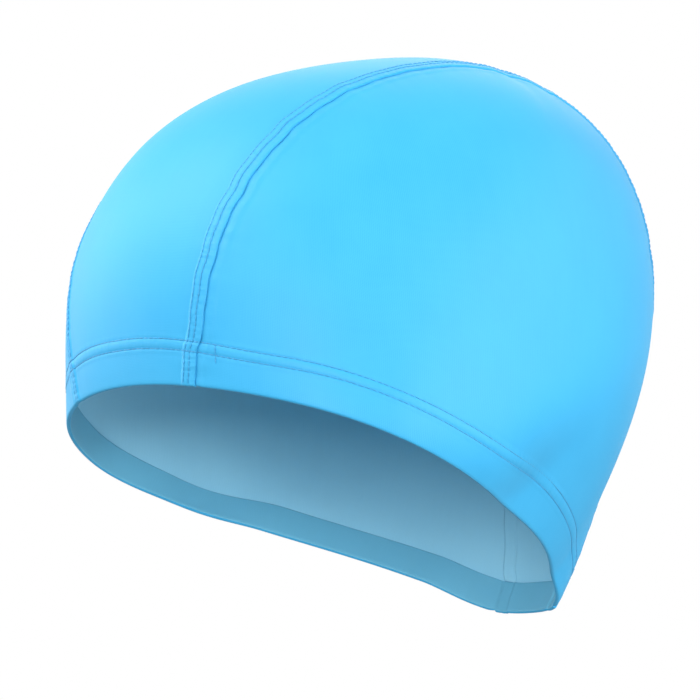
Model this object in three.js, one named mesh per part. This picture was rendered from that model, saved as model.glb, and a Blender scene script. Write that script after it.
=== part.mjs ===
// Swim cap of three cloth panels in its worn form: a crown strip from forehead to nape,
// a D-shaped panel over each ear, a hem turned inside all round, and lapped seams.
// Millimetres, +Z up. The face looks to -Y and the wearer's left is +X.
// The origin is the inside of the crown, where the cap sits on the head.
import * as THREE from "three";

// Sizes of the worn cap
const HALF_WIDTH = 85; // from the middle plane to the widest place over an ear
const CROWN_REACH = 104; // from the ear axis, about which the form is drawn, to the crown
const STRIP_HALF_WIDTH = 42; // crown strip, from the middle plane to a seam over the crown

// Cloth
const CLOTH = 1.0;
const HEM_DEPTH = 11.5; // from the folded edge to the cut edge of the turned-up hem
const HEM_SLIT = 0.3; // between the wall and the turned-up hem
const PIECE_GAP = 0.3;

// Lapped seams
const SEAM_BAND = 5.4; // width of the double layer beside each seam line
const SEAM_LIFT = 0.4; // how far the strip's margin stands above the side panels
const BAND_SLOPE = 0.8; // half the width over which the lift fades out

// Mesh divisions
const STRIP_ROWS = 40;
const SIDE_COLUMNS = 32;
const SIDE_ROWS = 13;
const SEAM_ROWS = 36;
const CURVE_SAMPLES = 160;

// The head form, a row every 30 degrees round the ear axis; 0 looks forward and 90 up.
// reach is a share of CROWN_REACH, squareness the exponent of the section across the head,
// and strip the seam's distance from the middle plane as a share of STRIP_HALF_WIDTH.
const FORM_STEP = 30;
const FORM_START = -90;
const FORM = [
  { station: -90, reach: 0.895, squareness: 1.5, strip: 0.34 },
  { station: -60, reach: 0.785, squareness: 1.8, strip: 0.53 },
  { station: -30, reach: 0.795, squareness: 2.9, strip: 0.62 },
  { station: 0, reach: 0.73, squareness: 2.2, strip: 0.83 },
  { station: 30, reach: 0.91, squareness: 1.95, strip: 0.98 },
  { station: 60, reach: 0.99, squareness: 2, strip: 1.04 },
  { station: 90, reach: 1.005, squareness: 2.5, strip: 1.03 },
  { station: 120, reach: 1.165, squareness: 2.9, strip: 1.06 },
  { station: 150, reach: 1.265, squareness: 2.15, strip: 1.3 },
  { station: 180, reach: 0.955, squareness: 2.3, strip: 0.95 },
  { station: 210, reach: 0.975, squareness: 1.5, strip: 0.42 },
  { station: 240, reach: 1.08, squareness: 1.25, strip: 0.3 },
];

// The rounded form about the ear axis and about the middle plane, and the sines of the angles
// by which each has eased out
const EAR_REACH = 0.96;
const EAR_SQUARENESS = 2.1;
const EAR_EASE = 0.55;
const ROUND = 2;
const MIDDLE_EASE = 0.38;

// The folded edge, a row every 20 degrees round the head from the forehead (0) to the nape
// (180); drop is its angle below the ear axis as seen from the middle of the head.
const EDGE_STEP = 20;
const EDGE = [
  { around: 0, drop: -1.8 },
  { around: 20, drop: -0.4 },
  { around: 40, drop: 3.3 },
  { around: 60, drop: 9 },
  { around: 80, drop: 19 },
  { around: 100, drop: 29.5 },
  { around: 120, drop: 35 },
  { around: 140, drop: 38.7 },
  { around: 160, drop: 41.6 },
  { around: 180, drop: 42.2 },
];

// Columns of the crown strip: each stands at a share of the half-width left inside an inset
// from the seams; lift is the share of SEAM_LIFT there.
const STRIP_COLUMNS = [
  { share: -1, inset: PIECE_GAP / 2, lift: 1 },
  { share: -1, inset: SEAM_BAND - BAND_SLOPE, lift: 1 },
  { share: -1, inset: SEAM_BAND + BAND_SLOPE, lift: 0 },
  { share: -0.75, inset: SEAM_BAND, lift: 0 },
  { share: -0.45, inset: SEAM_BAND, lift: 0 },
  { share: -0.15, inset: SEAM_BAND, lift: 0 },
  { share: 0.15, inset: SEAM_BAND, lift: 0 },
  { share: 0.45, inset: SEAM_BAND, lift: 0 },
  { share: 0.75, inset: SEAM_BAND, lift: 0 },
  { share: 1, inset: SEAM_BAND + BAND_SLOPE, lift: 0 },
  { share: 1, inset: SEAM_BAND - BAND_SLOPE, lift: 1 },
  { share: 1, inset: PIECE_GAP / 2, lift: 1 },
];

// Stations where the seam turns from a side panel's front into its top, and into its back
const PANEL_FRONT_CORNER = 52;
const PANEL_BACK_CORNER = 142;

// Columns of a seam allowance, as distances from the seam line
const ALLOWANCE_INSETS = [0.5, 2.5, SEAM_BAND - BAND_SLOPE];

const RADIAN = Math.PI / 180;

// Smooth curve led by evenly spaced values: a uniform cubic B-spline.
function blend(valueAt, position) {
  const first = Math.floor(position);
  const f = position - first;
  const weights = [
    (1 - f) ** 3,
    3 * f ** 3 - 6 * f ** 2 + 4,
    -3 * f ** 3 + 3 * f ** 2 + 3 * f + 1,
    f ** 3,
  ];
  return weights.reduce((sum, w, k) => sum + w * valueAt(first - 1 + k), 0) / 6;
}

// A column of FORM at a station in radians; the table closes on itself.
function form(column, station) {
  const count = FORM.length;
  const row = (index) => FORM[((index % count) + count) % count][column];
  return blend(row, (station / RADIAN - FORM_START) / FORM_STEP);
}

// Drop of the folded edge at an angle round the head; the table mirrors at both ends.
function edgeDrop(around) {
  const last = EDGE.length - 1;
  const row = (index) => EDGE[last - Math.abs(last - Math.abs(index))].drop;
  return blend(row, Math.abs(around) / RADIAN / EDGE_STEP) * RADIAN;
}

// Distance from the middle of the head to the outer face along a unit direction. Near the
// ear axis every station eases into one rounded ear form, so that the face has no peak there,
// and near the middle plane the section is never sharper than round, so that it has no crease.
function reachAlong(direction) {
  const { lerp, smoothstep } = THREE.MathUtils;
  const station = Math.atan2(direction.z, -direction.y);
  const off = Math.hypot(direction.y, direction.z);
  const ear = smoothstep(off, 0, EAR_EASE);
  const middle = smoothstep(Math.abs(direction.x), 0, MIDDLE_EASE);
  const squareness = form("squareness", station);
  const eased = lerp(Math.max(squareness, ROUND), squareness, middle);
  const power = lerp(EAR_SQUARENESS, eased, ear);
  const reach = lerp(EAR_REACH, form("reach", station), ear) * CROWN_REACH;
  const across = Math.abs(direction.x) / HALF_WIDTH;
  return (across ** power + (off / reach) ** power) ** (-1 / power);
}

// The outer face straight out from the middle of the head through a point.
function onFace(point) {
  const direction = point.clone().normalize();
  return direction.multiplyScalar(reachAlong(direction));
}

// Outward normal of the outer face at one of its points.
function faceNormal(point) {
  const step = 0.5;
  const excess = (p) => p.length() / reachAlong(p.clone().normalize());
  const slope = (x, y, z) => {
    const move = new THREE.Vector3(x, y, z).multiplyScalar(step);
    return excess(point.clone().add(move)) - excess(point.clone().sub(move));
  };
  return new THREE.Vector3(slope(1, 0, 0), slope(0, 1, 0), slope(0, 0, 1)).normalize();
}

// Point of the outer face at a station, about a given distance to one side of the middle plane.
function facePoint(station, x) {
  const power = form("squareness", station);
  const rest = 1 - (Math.abs(x) / HALF_WIDTH) ** power;
  const radius = form("reach", station) * CROWN_REACH * rest ** (1 / power);
  return onFace(new THREE.Vector3(x, -radius * Math.cos(station), radius * Math.sin(station)));
}

// Point of the folded edge at an angle round the head.
function edgePoint(around) {
  const drop = edgeDrop(around);
  const flat = Math.cos(drop);
  return onFace(
    new THREE.Vector3(Math.sin(around) * flat, -Math.cos(around) * flat, -Math.sin(drop)),
  );
}

// Angle round the head of a point.
function aroundOf(point) {
  return Math.atan2(point.x, -point.y);
}

// Height of a point above the folded edge, as an angle.
function aboveEdge(point) {
  const flat = Math.hypot(point.x, point.y);
  return Math.atan2(point.z, flat) + edgeDrop(aroundOf(point));
}

// Station between two others at which a curve of the face crosses the folded edge.
function edgeCrossing(curve, above, below) {
  let high = above;
  let low = below;
  for (let i = 0; i < 40; i++) {
    const middle = (high + low) / 2;
    if (aboveEdge(curve(middle)) > 0) high = middle;
    else low = middle;
  }
  return high;
}

// A curve that keeps a share of the strip's half-width less an inset, from edge to edge.
function strand(share, inset) {
  const curve = (station) =>
    facePoint(station, share * (form("strip", station) * STRIP_HALF_WIDTH - inset));
  const front = edgeCrossing(curve, 60 * RADIAN, -75 * RADIAN);
  const back = edgeCrossing(curve, 120 * RADIAN, 255 * RADIAN);
  return { curve, front, back };
}

// A path over the face measured along its length: its point, normal and onward direction.
function measured(curve, start, end) {
  const lengths = [0];
  let last = curve(start);
  for (let i = 1; i <= CURVE_SAMPLES; i++) {
    const next = curve(start + ((end - start) * i) / CURVE_SAMPLES);
    lengths.push(lengths[i - 1] + next.distanceTo(last));
    last = next;
  }
  const parameter = (distance) => {
    let i = 1;
    while (i < CURVE_SAMPLES && lengths[i] < distance) i++;
    const part = (distance - lengths[i - 1]) / (lengths[i] - lengths[i - 1]);
    return start + ((end - start) * (i - 1 + part)) / CURVE_SAMPLES;
  };
  const at = (distance) => {
    const point = curve(parameter(distance));
    const ahead = curve(parameter(distance + 0.5)).sub(curve(parameter(distance - 0.5)));
    return { point, normal: faceNormal(point), onward: ahead.normalize() };
  };
  return { length: lengths[CURVE_SAMPLES], at };
}

// Two skins of one layer of cloth whose outer skin lies at a depth below the face.
function layer(place, depth, thickness) {
  const skin = (d) => place.point.clone().addScaledVector(place.normal, -d);
  return { face: skin(depth), back: skin(depth + thickness) };
}

// The hem at the start of a path, from its cut edge down to the fold and round it.
function hemStart(path, lift) {
  const outerRadius = CLOTH + HEM_SLIT / 2;
  const innerRadius = HEM_SLIT / 2;
  const distances = [HEM_DEPTH, HEM_DEPTH * 0.55, outerRadius * 2];
  const turned = distances.map((distance) => {
    const { face, back } = layer(path.at(distance), CLOTH + HEM_SLIT - lift, CLOTH);
    return { face: back, back: face };
  });
  const foot = path.at(outerRadius);
  const centre = foot.point.clone().addScaledVector(foot.normal, lift - outerRadius);
  const fold = [0, 45, 90, 135, 180].map((angle) => {
    const ray = foot.normal.clone().multiplyScalar(-Math.cos(angle * RADIAN));
    ray.addScaledVector(foot.onward, -Math.sin(angle * RADIAN));
    return {
      face: centre.clone().addScaledVector(ray, outerRadius),
      back: centre.clone().addScaledVector(ray, innerRadius),
    };
  });
  return [...turned, ...fold];
}

// The same path walked the other way.
function reversed(path) {
  const at = (distance) => {
    const place = path.at(path.length - distance);
    return { ...place, onward: place.onward.negate() };
  };
  return { length: path.length, at };
}

// Closed body between two skins given as columns of places.
function cloth(columns) {
  const rows = columns[0].length;
  const count = columns.length;
  const positions = [];
  for (const skin of ["face", "back"])
    for (const column of columns)
      for (const place of column) positions.push(...place[skin].toArray());
  const index = (skin, column, row) => (skin * count + column) * rows + row;
  const triangles = [];
  const quad = (a, b, c, d) => triangles.push(a, b, c, a, c, d);
  for (let i = 0; i + 1 < count; i++)
    for (let j = 0; j + 1 < rows; j++) {
      quad(index(0, i, j), index(0, i + 1, j), index(0, i + 1, j + 1), index(0, i, j + 1));
      quad(index(1, i, j), index(1, i, j + 1), index(1, i + 1, j + 1), index(1, i + 1, j));
    }
  for (let i = 0; i + 1 < count; i++) {
    const top = rows - 1;
    quad(index(0, i, 0), index(1, i, 0), index(1, i + 1, 0), index(0, i + 1, 0));
    quad(index(0, i, top), index(0, i + 1, top), index(1, i + 1, top), index(1, i, top));
  }
  for (let j = 0; j + 1 < rows; j++) {
    const side = count - 1;
    quad(index(0, 0, j), index(0, 0, j + 1), index(1, 0, j + 1), index(1, 0, j));
    quad(index(0, side, j), index(1, side, j), index(1, side, j + 1), index(0, side, j + 1));
  }
  const geometry = new THREE.BufferGeometry();
  geometry.setAttribute("position", new THREE.Float32BufferAttribute(positions, 3));
  geometry.setIndex(volume(positions, triangles) < 0 ? triangles.reverse() : triangles);
  geometry.computeVertexNormals();
  return geometry;
}

// Signed volume enclosed by triangles.
function volume(positions, triangles) {
  const corner = (i) => new THREE.Vector3().fromArray(positions, 3 * triangles[i]);
  let sum = 0;
  for (let i = 0; i < triangles.length; i += 3)
    sum += corner(i).dot(corner(i + 1).cross(corner(i + 2))) / 6;
  return sum;
}

// Crown strip: forehead to nape, hemmed at both ends, its margins lifted over the seams.
function crownPanel() {
  const foldRadius = CLOTH + HEM_SLIT / 2;
  return cloth(
    STRIP_COLUMNS.map(({ share, inset, lift }) => {
      const { curve, front, back } = strand(share, inset);
      const path = measured(curve, front, back);
      const raised = lift * SEAM_LIFT;
      const wall = [];
      for (let row = 1; row < STRIP_ROWS; row++) {
        const distance = foldRadius + ((path.length - 2 * foldRadius) * row) / STRIP_ROWS;
        wall.push(layer(path.at(distance), -raised, CLOTH));
      }
      return [...hemStart(path, raised), ...wall, ...hemStart(reversed(path), raised).reverse()];
    }),
  );
}

// Side panel: the D between the folded edge and a seam, hemmed along the edge.
function sidePanel(side) {
  const seam = strand(side, -PIECE_GAP / 2);
  const frontCorner = PANEL_FRONT_CORNER * RADIAN;
  const backCorner = PANEL_BACK_CORNER * RADIAN;
  const along = (from, to) => (share) => seam.curve(from + (to - from) * share);
  const frontSide = along(seam.front, frontCorner);
  const backSide = along(seam.back, backCorner);
  const topSide = along(frontCorner, backCorner);
  const startAround = aroundOf(frontSide(0));
  const endAround = aroundOf(backSide(0));
  const edge = (share) => edgePoint(startAround + (endAround - startAround) * share);
  const patch = (u) => (v) => {
    const point = new THREE.Vector3();
    point.addScaledVector(edge(u), 1 - v).addScaledVector(topSide(u), v);
    point.addScaledVector(frontSide(v), 1 - u).addScaledVector(backSide(v), u);
    point.addScaledVector(edge(0), -(1 - u) * (1 - v)).addScaledVector(edge(1), -u * (1 - v));
    point.addScaledVector(topSide(0), -(1 - u) * v).addScaledVector(topSide(1), -u * v);
    return onFace(point);
  };
  const foldRadius = CLOTH + HEM_SLIT / 2;
  const columns = [];
  for (let i = 0; i <= SIDE_COLUMNS; i++) {
    const path = measured(patch(i / SIDE_COLUMNS), 0, 1);
    const wall = [];
    for (let row = 1; row <= SIDE_ROWS; row++) {
      const distance = foldRadius + ((path.length - foldRadius) * row) / SIDE_ROWS;
      wall.push(layer(path.at(distance), 0, CLOTH));
    }
    columns.push([...hemStart(path, 0), ...wall]);
  }
  return cloth(columns);
}

// Seam allowance: the side panel's margin lapped under the crown strip, hem to hem.
function seamAllowance(side) {
  const hemClearance = HEM_DEPTH + 2 * PIECE_GAP;
  const depth = CLOTH - SEAM_LIFT + PIECE_GAP;
  return cloth(
    ALLOWANCE_INSETS.map((inset) => {
      const { curve, front, back } = strand(side, inset);
      const path = measured(curve, front, back);
      const column = [];
      for (let row = 0; row <= SEAM_ROWS; row++) {
        const share = row / SEAM_ROWS;
        const distance = hemClearance + (path.length - 2 * hemClearance) * share;
        column.push(layer(path.at(distance), depth, CLOTH));
      }
      return column;
    }),
  );
}

const cap = new THREE.Group();
cap.name = "swim_cap";

function addPiece(name, geometry, color, roughness) {
  const material = new THREE.MeshStandardMaterial({ color, roughness, metalness: 0 });
  material.side = THREE.DoubleSide;
  const mesh = new THREE.Mesh(geometry, material);
  mesh.name = name;
  const crown = facePoint(90 * RADIAN, 0).z - CLOTH;
  mesh.position.z = -crown;
  cap.add(mesh);
}

const SHELL_BLUE = 0x58caf6;
const SHELL_BLUE_SHADE = 0x4fc0f0;

addPiece("crown_panel", crownPanel(), SHELL_BLUE, 0.55);
addPiece("left_panel", sidePanel(1), SHELL_BLUE, 0.55);
addPiece("right_panel", sidePanel(-1), SHELL_BLUE, 0.55);
addPiece("left_seam_allowance", seamAllowance(1), SHELL_BLUE_SHADE, 0.6);
addPiece("right_seam_allowance", seamAllowance(-1), SHELL_BLUE_SHADE, 0.6);

export default cap;
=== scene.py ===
"""Swim cap of stretch knit, filled out as on a head.

A crown strip runs from forehead to nape between two side panels. Its margins lie over the side
panels and carry twin rows of topstitching, and a hem turned inside carries two rows more.
Lengths are in metres. The face looks to -Y and the wearer's left is +X.
"""

import logging
import math
from collections.abc import Callable
from dataclasses import dataclass, field
from enum import Enum
from functools import cached_property, partial

import bpy
import numpy as np
from mathutils import Matrix, Vector


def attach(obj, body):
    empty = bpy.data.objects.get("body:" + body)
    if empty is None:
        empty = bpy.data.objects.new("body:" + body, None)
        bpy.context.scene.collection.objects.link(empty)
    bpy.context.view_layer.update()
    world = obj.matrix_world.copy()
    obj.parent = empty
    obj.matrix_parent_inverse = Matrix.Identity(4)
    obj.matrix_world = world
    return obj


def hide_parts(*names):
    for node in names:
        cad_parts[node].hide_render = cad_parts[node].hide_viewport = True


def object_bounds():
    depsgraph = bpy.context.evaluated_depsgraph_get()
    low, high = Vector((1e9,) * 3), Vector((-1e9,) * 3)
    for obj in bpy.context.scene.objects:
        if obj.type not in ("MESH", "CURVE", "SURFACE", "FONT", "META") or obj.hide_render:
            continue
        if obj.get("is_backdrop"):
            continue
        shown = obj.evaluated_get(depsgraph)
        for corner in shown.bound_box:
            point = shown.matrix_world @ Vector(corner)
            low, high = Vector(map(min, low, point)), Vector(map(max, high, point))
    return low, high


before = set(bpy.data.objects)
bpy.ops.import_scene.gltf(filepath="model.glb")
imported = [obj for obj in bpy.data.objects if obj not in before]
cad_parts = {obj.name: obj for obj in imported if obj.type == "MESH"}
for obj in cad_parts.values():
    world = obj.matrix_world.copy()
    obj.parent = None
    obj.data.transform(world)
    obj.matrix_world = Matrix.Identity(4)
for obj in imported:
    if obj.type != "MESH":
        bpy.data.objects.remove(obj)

LOG = logging.getLogger("swim_cap")
MM = 0.001

# The cloth's thickness
CLOTH = 0.7 * MM

FORM_COLUMNS = ("reach", "squareness", "strip")

# How far each wave of a ripple is set on from the one before it, in radians
WAVE_SHIFT = 2.1

# The distance that a map gives where the cloth is turned inside, far from what it measures
FAR_INSIDE = -1.0

Curve = Callable[[np.ndarray], np.ndarray]
Wave = tuple[float, float, float, float]
Stops = tuple[tuple[float, float], ...]
Colour = tuple[float, float, float, float]


class Side(Enum):
    """The wearer's side on which a piece lies; the value is the sign of its x."""

    LEFT = 1
    RIGHT = -1

    @property
    def word(self) -> str:
        """The side's name in lower case."""
        return self.name.lower()


class TableEnds(Enum):
    """How a table of evenly spaced values goes on past its ends."""

    CLOSED = "closed"
    MIRRORED = "mirrored"


class ClothFace(Enum):
    """The faces of a cloth body; the value is its place in the mesh's material list."""

    OUTER = 0
    INNER = 1
    # The turned-up layer's faces, whose finish is the outer knit recoloured with painted shade
    TURNED = 2


class ClothMap(Enum):
    """The maps of a cloth body: laid flat, about the seam and about the folded edge."""

    FLAT = "cloth"
    SEAM = "seam"
    HEM = "hem"


def smooth_step(value: np.ndarray, low: float, high: float) -> np.ndarray:
    """Ease from 0 to 1.

    Args:
        value: where to measure.
        low: the value at which the ease starts from 0.
        high: the value at which it reaches 1.

    Returns:
        The eased share.
    """
    share = np.clip((value - low) / (high - low), 0.0, 1.0)
    return share * share * (3.0 - 2.0 * share)


def bump(value: np.ndarray, centre: float, width: float) -> np.ndarray:
    """Bell curve of height 1.

    Args:
        value: where to measure.
        centre: the value at which the bell stands.
        width: the distance from the centre at which it has fallen to about a third.

    Returns:
        The bell's height.
    """
    return np.exp(-(((value - centre) / width) ** 2))


def ripple(distance: np.ndarray, lengths: tuple[float, ...], phase: float) -> np.ndarray:
    """Uneven wave made of a few plain waves.

    Args:
        distance: how far along the wave.
        lengths: the wavelengths that add up.
        phase: a shift that tells one ripple from another.

    Returns:
        The wave, from about -1 to 1.
    """
    total = np.zeros_like(distance)
    for turn, length in enumerate(lengths):
        start = phase * (turn + 1) + WAVE_SHIFT * turn
        total = total + np.sin(math.tau * distance / length + start)
    return total / math.sqrt(2 * len(lengths))


def spline(values: np.ndarray, position: np.ndarray, ends: TableEnds) -> np.ndarray:
    """Smooth curve led by evenly spaced values: a uniform cubic B-spline.

    Args:
        values: the values.
        position: where to measure, in steps of the table.
        ends: how the table goes on past its ends.

    Returns:
        The curve's value at each position.
    """
    first = np.floor(position).astype(int)
    f = position - first
    weights = (
        (1 - f) ** 3,
        3 * f**3 - 6 * f**2 + 4,
        -3 * f**3 + 3 * f**2 + 3 * f + 1,
        f**3,
    )
    total = np.zeros_like(f)
    for step, weight in enumerate(weights):
        row = first - 1 + step
        if ends is TableEnds.CLOSED:
            row = row % len(values)
        else:
            last = len(values) - 1
            row = last - np.abs(last - np.abs(row))
        total = total + weight * values[row]
    return total / 6.0


def unit(vectors: np.ndarray) -> np.ndarray:
    """The same directions with length 1."""
    return vectors / np.linalg.norm(vectors, axis=-1, keepdims=True)


def angle_round(points: np.ndarray) -> np.ndarray:
    """Angle of points round the head, 0 ahead and positive towards the wearer's left."""
    return np.arctan2(points[..., 0], -points[..., 1])


def station_of(points: np.ndarray) -> np.ndarray:
    """Angle of points round the ear axis, 0 ahead and positive upwards."""
    return np.arctan2(points[..., 2], -points[..., 1])


def way_out(azimuth: float, elevation: float) -> Vector:
    """Direction out from the cap.

    Args:
        azimuth: degrees round the head, 0 ahead and positive towards the wearer's left.
        elevation: degrees upwards.

    Returns:
        The direction, with length 1.
    """
    a, e = math.radians(azimuth), math.radians(elevation)
    return Vector((math.sin(a) * math.cos(e), -math.cos(a) * math.cos(e), math.sin(e)))


@dataclass(frozen=True)
class FormRow:
    """The head form's section at one station round the ear axis, 0 ahead and 90 up.

    reach is a share of the crown's reach, squareness the exponent of the section across the
    head, and strip the seam's distance from the middle plane as a share of the strip's half.
    """

    station: float
    reach: float
    squareness: float
    strip: float


@dataclass(frozen=True)
class EdgeRow:
    """The folded edge's drop below the ear axis, in degrees, at an angle round the head."""

    around: float
    drop: float


@dataclass(frozen=True)
class HeadForm:
    """The outer face of the worn cap, as a distance from the middle of the head.

    The section across the head is an oval, squarer or more pointed by the rows' squareness. Near
    the ear axis, over ear_ease, all sections ease into one of ear_reach and ear_squareness, and
    near the middle plane, over middle_ease, none is more pointed than round_section. wall is the
    solid part's wall, which sets the seat.
    """

    half_width: float = 85 * MM
    crown_reach: float = 104 * MM
    strip_half_width: float = 42 * MM
    wall: float = 1.0 * MM
    rows: tuple[FormRow, ...] = (
        FormRow(-90, 0.895, 1.5, 0.34),
        FormRow(-60, 0.785, 1.8, 0.53),
        FormRow(-30, 0.795, 2.9, 0.62),
        FormRow(0, 0.73, 2.2, 0.83),
        FormRow(30, 0.91, 1.95, 0.98),
        FormRow(60, 0.99, 2.0, 1.04),
        FormRow(90, 1.005, 2.5, 1.03),
        FormRow(120, 1.165, 2.9, 1.06),
        FormRow(150, 1.265, 2.15, 1.3),
        FormRow(180, 0.955, 2.3, 0.95),
        FormRow(210, 0.975, 1.5, 0.42),
        FormRow(240, 1.08, 1.25, 0.3),
    )
    edge: tuple[EdgeRow, ...] = (
        EdgeRow(0, -1.8),
        EdgeRow(20, -0.4),
        EdgeRow(40, 3.3),
        EdgeRow(60, 9.0),
        EdgeRow(80, 19.0),
        EdgeRow(100, 29.5),
        EdgeRow(120, 35.0),
        EdgeRow(140, 38.7),
        EdgeRow(160, 41.6),
        EdgeRow(180, 42.2),
    )
    ear_reach: float = 0.96
    ear_squareness: float = 2.1
    ear_ease: float = 0.55
    round_section: float = 2.0
    middle_ease: float = 0.38
    normal_step: float = 0.4 * MM
    search_rounds: int = 6
    search_tries: int = 17

    @cached_property
    def tables(self) -> dict[str, np.ndarray]:
        """The columns of the form's rows and of the edge's, by name."""
        form = {name: [getattr(row, name) for row in self.rows] for name in FORM_COLUMNS}
        form["drop"] = [row.drop for row in self.edge]
        return {name: np.array(values) for name, values in form.items()}

    def column(self, name: str, station: np.ndarray) -> np.ndarray:
        """One column of the form's rows.

        Args:
            name: the column's field in FormRow.
            station: stations in radians.

        Returns:
            The column's smooth value at each station.
        """
        step = self.rows[1].station - self.rows[0].station
        position = (np.degrees(station) - self.rows[0].station) / step
        return spline(self.tables[name], position, TableEnds.CLOSED)

    def edge_drop(self, around: np.ndarray) -> np.ndarray:
        """Drop of the folded edge in radians at angles round the head."""
        step = self.edge[1].around - self.edge[0].around
        position = np.abs(np.degrees(around)) / step
        return np.radians(spline(self.tables["drop"], position, TableEnds.MIRRORED))

    def reach_along(self, direction: np.ndarray) -> np.ndarray:
        """Distance from the middle of the head to the face along unit directions."""
        station = station_of(direction)
        off = np.hypot(direction[..., 1], direction[..., 2])
        side = np.abs(direction[..., 0])
        ear = smooth_step(off, 0.0, self.ear_ease)
        middle = smooth_step(side, 0.0, self.middle_ease)
        squareness = self.column("squareness", station)
        rounded = np.maximum(squareness, self.round_section)
        eased = rounded + (squareness - rounded) * middle
        power = self.ear_squareness + (eased - self.ear_squareness) * ear
        share = self.ear_reach + (self.column("reach", station) - self.ear_reach) * ear
        across = side / self.half_width
        return (across**power + (off / (share * self.crown_reach)) ** power) ** (-1.0 / power)

    def on_face(self, points: np.ndarray) -> np.ndarray:
        """The face straight out from the middle of the head through points."""
        direction = unit(points)
        return direction * self.reach_along(direction)[..., None]

    def normals(self, points: np.ndarray) -> np.ndarray:
        """Outward normals of the face at its points."""
        slope = np.empty_like(points)
        for axis in range(3):
            move = np.zeros(3)
            move[axis] = self.normal_step
            ahead, behind = points + move, points - move
            slope[..., axis] = np.linalg.norm(ahead, axis=-1) / self.reach_along(unit(ahead))
            slope[..., axis] -= np.linalg.norm(behind, axis=-1) / self.reach_along(unit(behind))
        return unit(slope)

    def face_point(self, station: np.ndarray, x: np.ndarray) -> np.ndarray:
        """Points of the face at stations, about a distance x to one side of the middle plane."""
        power = self.column("squareness", station)
        rest = 1.0 - (np.abs(x) / self.half_width) ** power
        radius = self.column("reach", station) * self.crown_reach * rest ** (1.0 / power)
        flat = np.stack([x, -radius * np.cos(station), radius * np.sin(station)], axis=-1)
        return self.on_face(flat)

    def toward(self, around: np.ndarray, rise: np.ndarray) -> np.ndarray:
        """Points of the face at angles round the head and angles above the ear axis."""
        flat = np.cos(rise)
        ray = [np.sin(around) * flat, -np.cos(around) * flat, np.sin(rise)]
        return self.on_face(np.stack(ray, axis=-1))

    def edge_point(self, around: np.ndarray) -> np.ndarray:
        """Points of the folded edge at angles round the head."""
        return self.toward(around, -self.edge_drop(around))

    def above_edge(self, points: np.ndarray) -> np.ndarray:
        """Height of points above the folded edge, as an angle."""
        rise = np.arctan2(points[..., 2], np.hypot(points[..., 0], points[..., 1]))
        return rise + self.edge_drop(angle_round(points))

    def crossing(self, curve: Curve, above: float, below: float) -> float:
        """Where a curve crosses the folded edge.

        Args:
            curve: points of the face against a parameter.
            above: a parameter above the edge.
            below: a parameter below it.

        Returns:
            The parameter at the edge.
        """
        high, low = above, below
        for _ in range(self.search_rounds):
            tries = np.linspace(high, low, self.search_tries)
            under = self.above_edge(curve(tries)) <= 0
            first = int(np.argmax(under))
            high, low = float(tries[first - 1]), float(tries[first])
        return high

    def seat(self) -> np.ndarray:
        """From the middle of the head to the inside of the crown."""
        top = self.face_point(np.array([math.pi / 2]), np.array([0.0]))[0]
        return np.array([0.0, 0.0, top[2] - self.wall])

    def placed(self, points: np.ndarray) -> np.ndarray:
        """Points about the middle of the head in the cap's frame, whose origin is the seat."""
        return points - self.seat()


@dataclass
class Places:
    """Points of the outer face with the directions out of it and onward along a path."""

    point: np.ndarray
    normal: np.ndarray
    onward: np.ndarray

    def raised(self, height: np.ndarray | float) -> np.ndarray:
        """The points lifted off the face by heights."""
        lift = np.broadcast_to(np.asarray(height, dtype=float), self.point.shape[:-1])
        return self.point + self.normal * lift[..., None]


class FacePath:
    """A curve over the face, measured along its length from the folded edge, in steps."""

    steps: int = 320

    def __init__(self, form: HeadForm, curve: Curve, start: float, end: float) -> None:
        """Measure the curve.

        Args:
            form: the face it runs over.
            curve: points of the face against a parameter.
            start: the parameter at which the path starts.
            end: the parameter at which it ends.
        """
        self.form = form
        self.curve = curve
        self.parameters = np.linspace(start, end, self.steps + 1)
        points = curve(self.parameters)
        strides = np.linalg.norm(np.diff(points, axis=0), axis=1)
        self.lengths = np.concatenate([[0.0], np.cumsum(strides)])
        self.step = (end - start) / self.steps

    @property
    def length(self) -> float:
        """The path's whole length."""
        return float(self.lengths[-1])

    def at(self, distances: np.ndarray) -> Places:
        """Places of the path at distances from its start."""
        parameter = np.interp(distances, self.lengths, self.parameters)
        point = self.curve(parameter)
        onward = self.curve(parameter + self.step) - self.curve(parameter - self.step)
        return Places(point, self.form.normals(point), unit(onward))


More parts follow.
